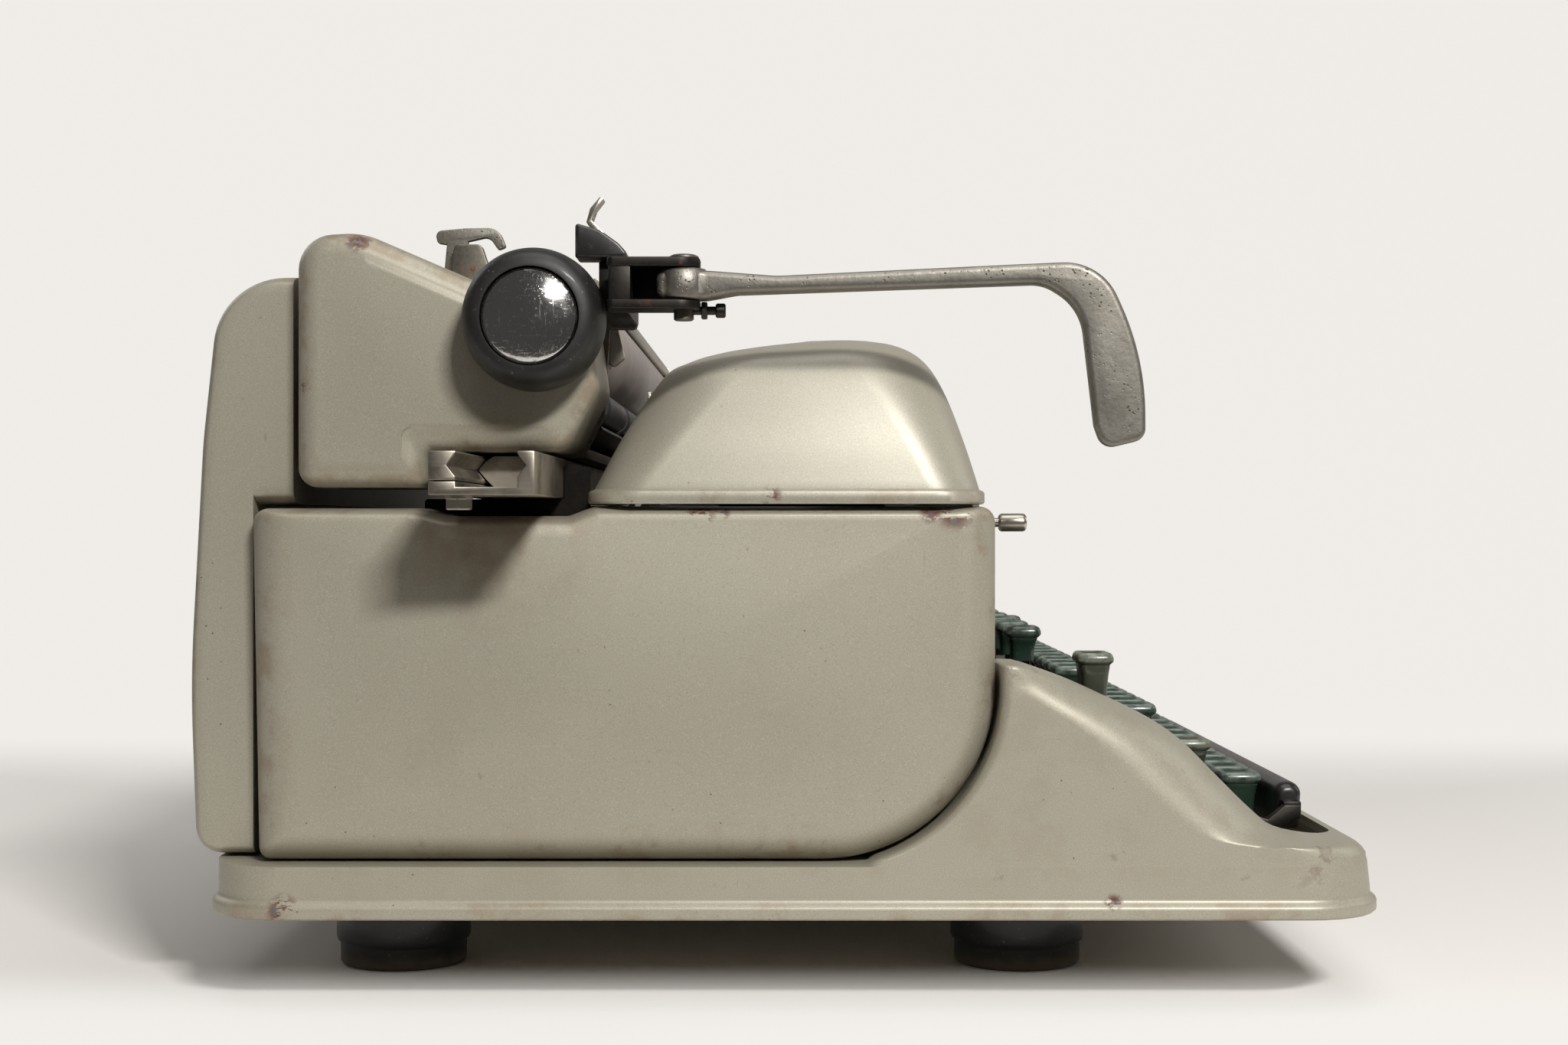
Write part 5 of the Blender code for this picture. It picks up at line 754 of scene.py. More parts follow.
def make_front_panel():
    face, low, top = -64.5, 112, 153
    corners = [
        (face, top, 1.5), (face, low, 1.5), (face + 8, low, 0), (face + 8, low + 2, 0), (face + 2, low + 2, 0),
        (face + 2, top - 2, 0), (face + 8, top - 2, 0), (face + 8, top, 0),
    ]
    panel = plate(rounded(corners, 5), "X", -149.7, 149.7)
    slot = box((-126.2, face - 2, 146.7), (-109.8, face + 4, 150.5))
    piece("front_plate", carve(panel, slot), paint_hood, "machine", "front_panel")
    x, z = -118, 148.6
    stem = rod("Y", (x, z), face + 6, face - 9, 1.5, 16)
    arm = box((x - 2, face + 2.3, z - 14), (x + 2, face + 4, z + 1.8), 0.3)
    profile = [(0, 9.2), (2.2, 9.2), (2.8, 8.7), (3, 8), (3, 1), (2.7, 0.3), (2.2, 0), (0, 0)]
    knob = turned(profile, (x, face - 7, z), (0, -1, 0), 32, rims=(1, 2, 5))
    piece("selector_knob", join(stem, arm, knob), steel, "selector", "ribbon_selector")


# Rails and carriage


def make_rails():
    half, front, back, low, top = 227, 70.7, 100.9, 156.4, 169
    front_face, back_face = front + 4.9, back - 7.7
    bed, ledge = low + 2.3, low + 3.9
    channel = [
        (front, low), (back, low), (back, ledge), (back_face, ledge), (back_face, bed), (front_face, bed),
        (front_face, 161.7), (front_face - 2.6, 164.9), (front_face, 168.1), (front_face, top), (front, top),
    ]
    parts = [plate(channel, "X", -half, half, 0.35)]
    for sign in SIDES.values():
        spot = (sign * (half - 9), back - 7.5)
        parts.append(rod("Z", spot, low - 4.2, low + 1, 4, 6, 0.4))
        parts.append(rod("Z", spot, low - 1.2, low + 0.5, 4, 24, 0.2))
    piece("rail_bed", join(*parts), rail_steel, "machine", "rail_channel")
    block = [
        (back, ledge + GAP), (back, top), (back_face, top), (back_face, 168.1), (back_face + 2.6, 164.9),
        (back_face, 161.7), (back_face, ledge + GAP),
    ]
    piece("rail_block", plate(block, "X", -half, half, 0.35), rail_steel, "machine", "rear_rail")
    heads = [screw((x, back - 3.9, top), (0, 0, 1), 2.3, 0.25, x) for x in (-196, -120, -40, 40, 120, 196)]
    piece("rail_screws", join(*heads), worn_steel, "machine")


def make_end_covers():
    y, z = PLATEN
    corners = [
        (149.8, 237, 11), (129.8, 238, 22), (y + 4, z + 6.5, 4), (60.5, z + 6.5, 7), (57, z - 20, 6),
        (67, 170.4, 7), (109.8, 170.4, 3), (109.8, 159.4, 3), (149.8, 159.4, 6),
    ]
    middle = (121.8, 198.7)
    for side, sign in SIDES.items():
        near, face = CARRIAGE + sign * 208.3, CARRIAGE + sign * 257.1
        whole = crowned(corners, middle, near, face, 7, 1.2, False)
        hollow = crowned(drawn_in(corners, 2.2), middle, near - sign * 4, face - sign * 2.2, 4.8, 1.2, False)
        bore = rod("X", PLATEN, near + sign * 10, face + sign * 10, 4.8, 32)
        piece(f"end_shell_{side}", carve(whole, hollow, bore), paint_end, "carriage", f"end_cover_{side}")


def make_platen():
    profile = [(0, 273.6), (4, 273.6), (4, 203), (8, 203), (8, 200.6), (17.2, 200), (17.4, 199), (18.6, 199)]
    profile.append((19, 198.4))
    profile += [(radius, -height) for radius, height in reversed(profile)]
    roller = turned(profile, (CARRIAGE, *PLATEN), (1, 0, 0), 72)
    piece("platen_roller", roller, platen_rubber, "platen_group", "platen")


def make_knobs():
    length, radius, inner = 21, 21.6, 16.9
    for side, sign in SIDES.items():
        centre = (CARRIAGE + sign * 258.6, *PLATEN)
        profile = [(4.3, length - 4), (14.8, length - 4), (14.8, length), (15.6, length), (inner, length - 0.5)]
        for turn in map(radians, range(0, 91, 15)):
            profile.append((inner + 4.7 * sin(turn), length - 0.5 - 14 * (1 - cos(turn))))
        profile += [(radius, 4), (radius - 0.4, 1.5), (radius - 1.6, 0), (4.3, 0)]
        knob = turned(profile, centre, (sign, 0, 0), 96, rims=(2, 3, 4))
        piece(f"knob_ring_{side}", knob, ring_black, "platen_group", f"platen_knob_{side}")
        cap = [(14.5 * step / 14, length - 1 + 3.4 * (1 - (step / 14) ** 2)) for step in range(14)]
        cap += [(14.3, length - 1), (14.5, length - 1.4), (14.5, length - 3.7), (0, length - 3.7)]
        dome = turned(cap, centre, (sign, 0, 0), 96)
        piece(f"knob_dome_{side}", dome, bright, "platen_group", f"knob_cap_{side}", crease=60)


def make_lever():
    top, floor, bottom, end = 224.3, 215.1, 170.2, -138
    corners = [
        (7.8, top - 0.8, 2.5), (7.8, floor, 2.5), (-7, floor, 3), (-16, top - 7.6, 12, 10),
        (end + 31, top - 5, 12, 10), (end + 20, top - 12, 16, 12), (end + 16, bottom + 7, 5),
        (end + 13.5, bottom, 4.5), (end + 1, bottom + 3, 4), (end + 1.2, top - 27, 80, 14),
        (end + 14, top + 1.6, 17, 14), (end + 40, top + 0.6, 30), (-28, top - 2.4, 30), (-8, top - 0.8, 8),
    ]
    arm = pillow(corners, "X", -5.5, 5.5, 1.9, 8, 4)
    # Thinner towards the handle and down it
    for vertex in arm.vertices:
        ahead = min(max(-vertex.co.y - 12, 0) / 60, 1)
        lowered = min(max(top - 16 - vertex.co.z, 0), 30)
        vertex.co.x *= 1 - 0.22 * ahead - 0.006 * lowered
    arm.transform(Matrix.Rotation(radians(-3), 4, "Z"))
    hub = rod("Z", (0, 0), floor, top, 7.4, 48, 0.9)
    whole = carve(join(arm, hub), rod("Z", (0, 0), floor - 5, top + 5, 3.3, 32), crossed=True)
    whole.transform(Matrix.Translation(Vector((*LEVER, 0))))
    piece("lever_casting", whole, cast, "return_lever_body", "return_lever", crease=50)


def make_bracket():
    lx, ly = LEVER
    low, high, rear, front, web = lx - 7.5, lx + 7.5, ly + 22.6, ly - 5, ly + 15.5
    top, bottom = 224.6, 212
    corners = [
        (low, rear, 2), (high, rear, 2), (high, front + 4, 6), (high - 4, front, 3), (low + 4, front, 3),
        (low, front + 4, 6),
    ]
    plates = join(*[pillow(corners, "Z", level, level + 2.8, 0.5) for level in (top, bottom)])
    blocks = [
        box((low + 0.5, web, bottom + 0.6), (high - 0.5, rear - 0.5, top + 2.2), 0.5),
        box((high - 4, web + 1, bottom + 3.5), (high + 8, rear - 1, top - 0.5), 0.5),
        box((high + 6, web + 2.2, bottom + 1), (-129.3, rear + 4, 228.7), 0.6),
        box((high + 0.4, ly - 1, bottom + 0.5), (high + 3.4, web + 2, top + 2.2), 0.5),
    ]
    fork = join(carve(plates, rod("Z", LEVER, bottom - 5, top + 8, 3.3, 32)), *blocks)
    piece("lever_fork", fork, dark_steel, "carriage", "lever_bracket")
    profile = [
        (0, top + 4.2), (3.4, top + 4.1), (4.4, top + 3.6), (4.6, top + 3.1), (3, top + 3.1), (3, bottom - 2.6),
        (2.6, bottom - 3), (0, bottom - 3),
    ]
    pin = turned(profile, (*LEVER, 0), (0, 0, 1), 32, rims=(1, 2))
    piece("fork_pin", pin, worn_steel, "carriage", "lever_pivot_pin")
    spot = (lx + 2, bottom + 0.2)
    stop = join(
        rod("Y", spot, front + 3, front - 7, 1.3, 16, 0.2),
        rod("Y", spot, front - 4.5, front - 7.5, 2.2, 16, 0.4),
        rod("Y", spot, front - 0.2, front - 2, 2.9, 6, 0.3),
    )
    piece("stop_screw", stop, dark_steel, "carriage")


def make_top_levers():
    low, back, floor, top = LEVER[0] + 8.5, 63.4, 229, 239.6
    corners = [
        (back, floor, 0.6), (back - 17, floor, 1.2), (back - 13.2, floor + 4.4, 8), (back - 7.6, top - 2.2, 10),
        (back, top, 0.9),
    ]
    wedge = pillow(corners, "X", low, low + 14, 0.8)
    rib = box((low + 13.6, back - 12, floor + 1.2), (low + 14, back - 1.2, floor + 1.9))
    piece("release_wedge", join(wedge, rib), bakelite, "carriage_release_body", "carriage_release")
    strip = [
        (55.6, floor), (54.4, floor), (53.6, floor + 3.6), (57.2, top + 1), (60.8, top + 4.6), (59.6, top + 8),
        (57, top + 11.4), (58.2, top + 12.2), (61.4, top + 8.4), (62.6, top + 4), (59, top), (56.4, floor + 3.6),
    ]
    x = -151.5
    bent = carve(plate(strip, "X", x - 3.5, x + 3.5, 0.25), rod("Y", (x, top + 6.2), 50, 70, 1.2, 16))
    bent = join(bent, screw((x, 59.2, top + 1.4), (0, -0.7, 0.7), 1.7, 0.9))
    piece("spacing_strip", bent, steel, "line_space_body", "line_space_selector")
    y, z = PLATEN[0] + 32, 237.4
    corners = [
        (y + 8, z + 7.5, 2), (y + 7, z + 3.5, 1), (y + 4, z + 3, 0), (y + 5, z - 8, 1.5), (y - 4, z - 8, 1.5),
        (y - 3, z + 4, 0), (y - 10, z + 5.6, 3), (y - 13, z + 1.2, 0.8), (y - 15.6, z + 2.2, 0.8),
        (y - 13, z + 8.6, 5), (y - 2, z + 8.4, 8),
    ]
    release = pillow(corners, "X", LEFT, LEFT + 3, 0.35, 5)
    piece("paper_release_arm", release, cast, "paper_release_body", "paper_release")


def make_bail():
    half = END_PLATE - GAP - 1.8
    (py, pz), (ry, rz) = (-19.4, -6), polar(-21.5, radians(-50))
    py, ry, pz, rz = PLATEN[0] + py, PLATEN[0] + ry, PLATEN[1] + pz, PLATEN[1] + rz
    parts = [rod("X", (ry, rz), CARRIAGE - half, CARRIAGE + half, 2.2, 24)]
    corners = [
        (py + 3.6, pz - 2, 1.2), (ry + 3.6, rz + 0.5, 1.5), (ry + 1, rz + 3.4, 1.5), (ry - 3.4, rz + 1, 1.5),
        (py - 3.6, pz - 1, 1.2), (py, pz - 4, 1.2),
    ]
    for sign in SIDES.values():
        span = sorted((CARRIAGE + sign * (half - 0.5), CARRIAGE + sign * (half + 1.8)))
        parts.append(pillow(corners, "X", *span, 0.3, 4))
    piece("bail_bar", join(*parts), steel, "paper_bail_body", "paper_bail")


def make_end_plates():
    """The carriage's two end plates, its bed and the toothed strip that drives the escapement."""
    rear = [(145.8, 226, 5), (109.4, 228, 2), (108.4, 240, 2), (99.4, 240, 2), (95.4, 227.8, 4)]
    nose = {
        -1: [(65.4, 227.1, 2), (48.2, 227.1, 1.5), (48.2, 212, 1.5), (57, 212, 1)],
        1: [(65.4, 227.1, 5), (57, 212, 3)],
    }
    below = [(58.8, 183.8, 3), (66, 169.5, 2), (109.8, 169.5, 1), (112.8, 162.4, 2), (145.8, 162.4, 3)]
    parts = []
    for sign in SIDES.values():
        inner = CARRIAGE + sign * END_PLATE
        low, high = sorted((inner, inner + sign * 4))
        side = pillow(rear + nose[sign] + below, "X", low, high, 0.35, 4)
        parts.append(carve(side, rod("X", PLATEN, low - 2, high + 2, 4.5, 24)))
        for y, z in ((64, 220), (134, 172), (134, 214), (72, 176)):
            parts.append(screw((inner, y, z), (-sign, 0, 0), 2.6, 1.1, y))
        parts.append(rod("X", PLATEN, inner, inner - sign * 1.6, 7.2, 6, 0.3))
    left, right = CARRIAGE - 206, CARRIAGE + 206
    windows = [box((x - 26, 74, 166), (x + 26, 92, 176)) for x in (-30, 42, 116, 188)]
    parts.append(carve(box((left, 65, 169.7), (right, 107.8, 173), 0.3), *windows))
    parts.append(box((left, 140.8, 163.4), (right, 142.8, 202), 0.3))
    count, root, tip = 160, 157.6, 159.3
    teeth = [(left, 171.5), (left, root)]
    for tooth in range(count):
        start = CARRIAGE + TOOTH * (tooth - count / 2)
        teeth += [(start, root), (start + TOOTH * 0.45, tip), (start + TOOTH * 0.95, tip)]
    teeth += [(right, root), (right, 171.5)]
    parts.append(plate(teeth, "Y", 102.5, 106.5))
    piece("carriage_plates", join(*parts), worn_steel, "carriage", "carriage_frame")


def make_paper_path():
    """Feed rollers, paper pan and the table behind the platen."""
    y, z = PLATEN
    steps = (-194, -118, -104, -44, -30, 30, 44, 104, 118, 194)
    profile = [(0, 203.7), (2.5, 203.7)]
    for high, low in zip(steps[::-2], steps[-2::-2]):
        profile += [(2.5, high), (5.2, high), (6, high - 0.8), (6, low + 0.8), (5.2, low), (2.5, low)]
    profile += [(2.5, -203.7), (0, -203.7)]
    along, down = 25.3 * sin(radians(27)), 25.3 * cos(radians(27))
    for name, sign in (("front", -1), ("rear", 1)):
        roller = turned(profile, (CARRIAGE, y + sign * along, z - down), (1, 0, 0), 32)
        piece(f"feed_rolls_{name}", roller, roll_rubber, f"{name}_roller", f"feed_roller_{name}")
    face = [
        (100.4, 199.8, 0), (104.4, 217.8, 9, 8), (133.2, 234.6, 1), (135, 233.2, 1), (134, 232.2, 0.4),
        (133, 233.2, 0.4), (105.6, 216.9, 9, 8), (101.7, 199.8, 0),
    ]
    sheet = plate(rounded(face, 4), "X", LEFT, RIGHT)
    rib = rounded([(103.6, 214, 0.3), (130, 232.9, 0.3), (130.3, 232.4, 0.3), (104, 213.6, 0.3)], 2)
    ribs = [plate(rib, "X", x - 0.6, x + 0.6) for x in (-60, 10, 79, 148, 218)]
    piece("paper_table_sheet", join(sheet, *ribs), dark_steel, "carriage", "paper_table")
    turns = [2.75 * step - 117 for step in range(29)]
    outline = [(y + across, z + up) for across, up in arc(34.2, turns) + arc(33, turns[::-1])]
    piece("paper_pan_sheet", plate(outline, "X", LEFT, RIGHT), dark_steel, "carriage", "paper_pan")


def make_margins():
    """The toothed margin rack and its two sliding stops."""
    outline = [(LEFT, 185), (RIGHT, 185), (RIGHT, 194)]
    for tooth in range(158, -1, -1):
        x = CARRIAGE + (tooth - 79.5) * TOOTH
        outline += [(x + 1.9, 195), (x + 1.4, 195), (x + 1.1, 193.6), (x + 0.3, 193.6)]
    outline.append((LEFT, 194))
    piece("margin_rack_bar", plate(outline, "Y", 128.5, 131.5), steel, "carriage", "margin_rack")
    for side, sign in SIDES.items():
        x = CARRIAGE + sign * 160
        block = box((x - 6, 125, 182), (x + 6, 135, 198), 0.7)
        block = carve(block, box((x - 9, 128.2, 184.7), (x + 9, 131.8, 195.3)))
        tab = pillow(rect(x - 2, 197, x + 2, 214, 0, 1.9), "Y", 127, 129, 0.3, 5)
        ridges = [box((x - 1.8, 126.7, 206 + up), (x + 1.8, 127.2, 206.5 + up)) for up in (0, 1.1, 2.2, 3.3, 4.4)]
        stop = join(block, tab, *ridges)
        piece(f"margin_stop_block_{side}", stop, steel, f"{side}_stop", f"margin_stop_{side}")


# Inside of the machine


def make_spools():
    base = 147.5
    flange = [(4, 0), (24.6, 0), (25, 0.25), (25, 0.75), (24.6, 1), (4, 1)]
    hub = [
        (0, base + 14.6), (1.6, base + 15), (3.6, base + 15), (4, base + 14.6), (4, base + 0.1), (0, base + 0.1),
    ]
    wound = []
    for turn in range(22):
        radius = 19 - turn * 0.6
        wound += [(radius, base + 11.6 - 0.12 * (turn % 3)), (radius - 0.4, base + 11.35)]
    wound = [(4.5, base + 11.2), *sorted(wound), (19.4, base + 11.2), (19.4, base + 1.2), (4.5, base + 1.2)]
    for side, sign in SIDES.items():
        x, y = sign * SPOOL[0], SPOOL[1]
        low, high = (
            turned([(radius, level + up) for radius, up in flange], (x, y, 0), (0, 0, 1), 64, rims=(2, 3))
            for level in (base, base + 12)
        )
        holes = [rod("Z", (x + u, y + v), base + 10, base + 15, 3.6, 24) for u, v in circle(12.5, 3, 0.4)]
        spool = join(low, carve(high, *holes), turned(hub, (x, y, 0), (0, 0, 1), 32, rims=(2, 3)))
        body = f"spool_{side}"
        piece(f"spool_flanges_{side}", spool, dark_steel, body, f"ribbon_spool_{side}")
        piece(f"spool_ribbon_{side}", turned(wound, (x, y, 0), (0, 0, 1), 64), inked, body)


def type_bar():
    """A type bar with its root at the origin, pointing forwards, with the type block at its end."""
    tip = -83.5
    blade = [
        (0.8, -2.3), (0.8, 1.6), (-2, 2.3), (-40, 2), (tip + 4, 1.4), (tip + 4, -1.4), (-40, -2.2), (-3, -2.3),
    ]
    bar = plate(blade, "X", -0.6, 0.6)
    block = box((-1.3, tip, -4.2), (1.3, tip + 3.2, 4.2), 0.25)
    neck = box((-0.9, tip + 2.8, -2), (0.9, tip + 9, 2), 0.2)
    faces = [box((-0.8, tip + 0.4, up), (0.8, tip + 2.2, up + 0.4)) for up in (-4.4, 4)]
    return join(bar, block, neck, *faces)


def make_type_basket():
    """The slotted segment, the fan of type bars at rest and the one bar that moves."""
    root_y, root_z, radius = 40, 122, 82.1
    middle = root_z + radius
    spacing, bars = 2.5, 13

    def sector(inner, outer, first, last, low, high):
        steps = max(2, int((last - first) / 1.5))
        turns = [radians(first + (last - first) * step / steps) for step in range(steps + 1)]
        spots = [(outer, turn) for turn in turns] + [(inner, turn) for turn in reversed(turns)]
        outline = [(far * sin(turn), middle - far * cos(turn)) for far, turn in spots]
        return plate(outline, "Y", low, high)

    parts = []
    edges = [-42] + [spacing * step for step in range(-bars, bars + 1)] + [42]
    for first, last in zip(edges, edges[1:]):
        low = first if first == edges[0] else first + 0.55
        high = last if last == edges[-1] else last - 0.55
        parts.append(sector(76, 91.6, low, high, root_y + 2.2, root_y + 4.8))
    for turn in (-38, 38):
        across, up = polar(86, radians(turn))
        parts.append(screw((up, root_y + 2.2, middle - across), (0, -1, 0), 2.4, 0.9, turn))
    segment = carve(sector(74, 92, -42, 42, root_y + 4.6, root_y + 9.2), box((-1.2, 41, 116), (1.2, 46, 132)))
    piece("segment_block", join(segment, *parts), steel, "machine", "type_segment")

    fan = []
    for step in [*range(-bars, 0), *range(1, bars + 1)]:
        angle = radians(spacing * step)
        root = Vector((radius * sin(angle), root_y, middle - radius * cos(angle)))
        turn = Matrix.Rotation(-angle, 4, "Y") @ Matrix.Rotation(angle * 0.45, 4, "Z")
        fan.append(moved(type_bar(), Matrix.Translation(root) @ turn))
    limit = spacing * (bars + 0.6)
    fan.append(sector(84, 86.3, -limit, limit, 37, 41.8))
    piece("type_bars", join(*fan), steel, "machine", "type_bar_fan", crease=30)
    bar = moved(type_bar(), Matrix.Translation(Vector((0, root_y, root_z))))
    piece("moving_type_bar", bar, steel, "type_bar", "centre_type_bar", crease=30)

    y, low, top = 50.7, 132, 200
    guide = [
        (-13, low, 0.5), (13, low, 0.5), (13, top, 2), (3, top - 4, 0.8), (1.2, 150, 0.6), (-1.2, 150, 0.6),
        (-3, top - 4, 0.8), (-13, top, 2),
    ]
    blade = pillow(guide, "Y", y, y + 1.4, 0.25, 4)
    foot = box((-13, y - 1.9, low), (13, y + 1, low + 3), 0.3)
    heads = [screw((x, y - 1.9, low + 1.5), (0, -1, 0), 1.2, 0.5, x) for x in (-9, 9)]
    piece("guide_blade", join(blade, foot, *heads), steel, "machine", "type_guide")
    low, top = 137.5, 196.5
    prongs = [
        (-17.5, low, 0.6), (17.5, low, 0.6), (17.5, top, 1.2), (14.5, top, 1.2), (14.5, low + 3, 1),
        (-14.5, low + 3, 1), (-14.5, top, 1.2), (-17.5, top, 1.2),
    ]
    piece("vibrator_fork", pillow(prongs, "Y", 48.8, 50.2, 0.3, 4), steel, "vibrator", "ribbon_vibrator")


def make_drum_and_bell():
    x, y, z = -104, 118, 116
    profile = [
        (2.9, 11), (5, 11), (5, 8), (11, 8), (12, 7.4), (20, 7.4), (21, 8), (26.4, 8), (27, 7.4), (27, 6), (24, 5),
        (24, -5), (27, -6), (27, -7.4), (26.4, -8), (2.9, -8),
    ]
    drum = turned(profile, (x, y, z), (0, 1, 0), 96, rims=(6, 7, 8, 9, 12, 13, 14))
    holes = [rod("Y", (x + u, z + v), y + 2, y + 12, 3.2, 24) for u, v in circle(16, 4, 0.4)]
    piece("spring_drum", carve(drum, *holes), worn_steel, "drum", "mainspring_drum")
    wall = [*arc(22, range(81, -1, -9)), *arc(20.6, range(0, 82, 9))]
    profile = [(0, 22), *wall, (3, 20.2), (3, -18.4), (0, -18.4)]
    bell = turned(profile, (90, 125, 62), (0, 0, 1), 64, rims=(10, 11))
    piece("bell_cup", bell, bell_metal, "machine", "margin_bell")
    z, teeth, root, tip = 141.8, 39, 13.9, 15.45
    outline = []
    for tooth in range(teeth):
        for share, radius in ((0, root), (0.12, tip), (0.34, tip), (0.86, root)):
            across, up = polar(radius, 2 * pi * (tooth + share) / teeth)
            outline.append((across, z + up))
    cutters = [rod("Y", (0, z), 100, 108, 2, 24)]
    cutters += [rod("Y", (u, z + v), 100, 108, 2.7) for u, v in circle(8.4, 5)]
    hub = turned([(2, 5), (3.6, 5), (3.6, 1), (2, 1)], (0, 104.5, z), (0, 1, 0), 32)
    star = join(carve(plate(outline, "Y", 103.3, 105.7), *cutters), hub)
    piece("escapement_star", star, steel, "escapement", "escapement_wheel")


def make_inner_frame():
    """Two side plates with their cross members, pivot rods, ribbon cups and brackets."""
    low, top, reach = 30.8, 147, 145.75
    corners = [
        (146, low, 2), (146, top, 4), (114.9, top, 1), (114.9, 156.1, 1), (70.4, 156.1, 0.5), (70.4, 168, 1.5),
        (62.2, 166, 1.5), (62.2, top, 2), (-55, top, 5), (-55, 100, 8), (-10, 74, 8), (-10, low, 2),
    ]
    window = rounded(rect(14, 66, 84, 134, 6, 6))
    floor, inner, outer = 146, 26.8, 28
    cup = [
        (0, floor + 1.2), (inner - 1, floor + 1.2), (inner, floor + 2.2), (inner, floor + 10.8),
        (inner + 0.3, floor + 11), (outer - 0.2, floor + 11), (outer, floor + 10.7), (outer, floor), (0, floor),
    ]
    parts = []
    for sign in SIDES.values():
        side = pillow(corners, "X", *sorted((sign * 144, sign * 147.5)), 0.4, 4)
        parts.append(carve(side, plate(window, "X", *sorted((sign * 138, sign * 154)))))
        for y, z in ((-30, 128), (100, 120), (132, 60), (40, 48)):
            parts.append(screw((sign * 144, y, z), (-sign, 0, 0), 3, 1.2, y))
        first, last = sorted((sign * reach, sign * 80))
        parts += [
            box((first, -34, 144), (last, 22, 146.5), 0.4),
            turned(cup, (sign * SPOOL[0], SPOOL[1], 0), (0, 0, 1), 64, rims=(3, 4, 5, 6)),
            box((sign * 60 - 3, 49.5, 116), (sign * 60 + 3, 78.7, 145), 0.5),
            screw((sign * 56, 49.5, 122), (0, -1, 0), 2.2, 0.9, sign),
        ]
    parts += [
        box((-reach, 141, 31.8), (reach, 145, 44.8), 0.5),
        box((-reach, 76.7, 139), (reach, 92.9, 146), 0.5),
        box((-reach, -8, 31.8), (reach, -2, 35.8), 0.5),
        rod("X", (95, 54), -reach, reach, 3, 32),
        rod("X", (-8, 90), -reach, reach, 3, 32),
        box((-63, 49.5, 116), (63, 53.5, 128), 0.5),
        box((-reach, 129.3, 110), (-98, 132.3, 122), 0.4),
        rod("Y", (-104, 116), 109, 130.3, 2.6, 24, 0.4),
        rod("Y", (0, 141.8), 90.9, 110.5, 1.7, 24, 0.3),
        box((86, 121, 40.3), (94, 143, 43.3), 0.4),
    ]
    piece("frame_plates", join(*parts), frame_dark_and_shade, "machine", "inner_frame")


def make_inside():
    """Two CAD nodes that stay as they are, with a material and soft edges."""
    for node, look in (("cover_hinge_pin", steel), ("moving_rail", rail_steel)):
        kept = frame["nodes"][node]
        kept.data.materials.clear()
        kept.data.materials.append(look)
        soft = kept.modifiers.new("soft_edges", "BEVEL")
        soft.width = 0.35 * MM
        soft.segments = 2


# Keyboard


def key_cap(x, y, lip, size=(15.8, 14), depth=13):
    """A key top: a waisted body that flares into a flat rim with a shallow dish."""
    half_x, half_y = size[0] / 2, size[1] / 2
    levels = []
    for share in (step / 6 for step in range(7)):
        flare = share**2.4
        across, along = half_x - 3.1 + 1.9 * flare, half_y - 2.2 + flare
        levels.append((across, along, lip - depth + (depth - 1.5) * share, 1.6, 0))
    rim = (
        # Rim rings: inset, rise and rim mark; the rim mark makes the key's rim lighter, as wear and painted
        # highlight
        (1.2, -1.3, 0), (0.35, -0.5, 0.3), (0, 0.1, 0.6), (0.1, 1.1, 0.4), (0.5, 2.1, 1), (1.1, 2.6, 1),
        (1.8, 2.5, 0.6), (2.6, 1.9, 0), (4, 1.6, 0),
    )
    for inset, up, rim_mark in rim:
        levels.append((half_x - inset, half_y - inset, lip + up, max(2.4 - inset * 0.35, 0.6), rim_mark))
    rings = []
    for across, along, height, radius, _ in levels:
        outline = rounded(rect(-across, -along, across, along, radius, radius), 3)
        rings.append([(x + u, y + v, height) for u, v in outline])
    return loft(rings, [level[-1] for level in levels])


def key_lever(x, y, cap_bottom, tab_y=None):
    """A key's lever, with a tab down to the bar that ties its row if asked."""
    front_low = min(LEVER_LOW, cap_bottom - 3.5)
    front_high = min(LEVER_HIGH, front_low + 6)
    outline = [(y - 2, cap_bottom + 0.6), (y - 2, front_low)]
    if front_low < LEVER_LOW:
        outline += [(y + 8, front_low), (y + 30, LEVER_LOW)]
    if tab_y is not None:
        outline += [(tab_y - 2, LEVER_LOW), (tab_y - 2, 38.5), (tab_y + 2, 38.5), (tab_y + 2, LEVER_LOW)]
    outline += [(LEVER_END, LEVER_LOW), (LEVER_END, LEVER_HIGH)]
    if front_low < LEVER_LOW:
        outline += [(y + 26, LEVER_HIGH), (y + 5, front_high)]
    else:
        outline.append((y + 2, LEVER_HIGH))
    outline.append((y + 2, max(cap_bottom + 0.6, front_high)))
    return plate(outline, "X", x - 1, x + 1)


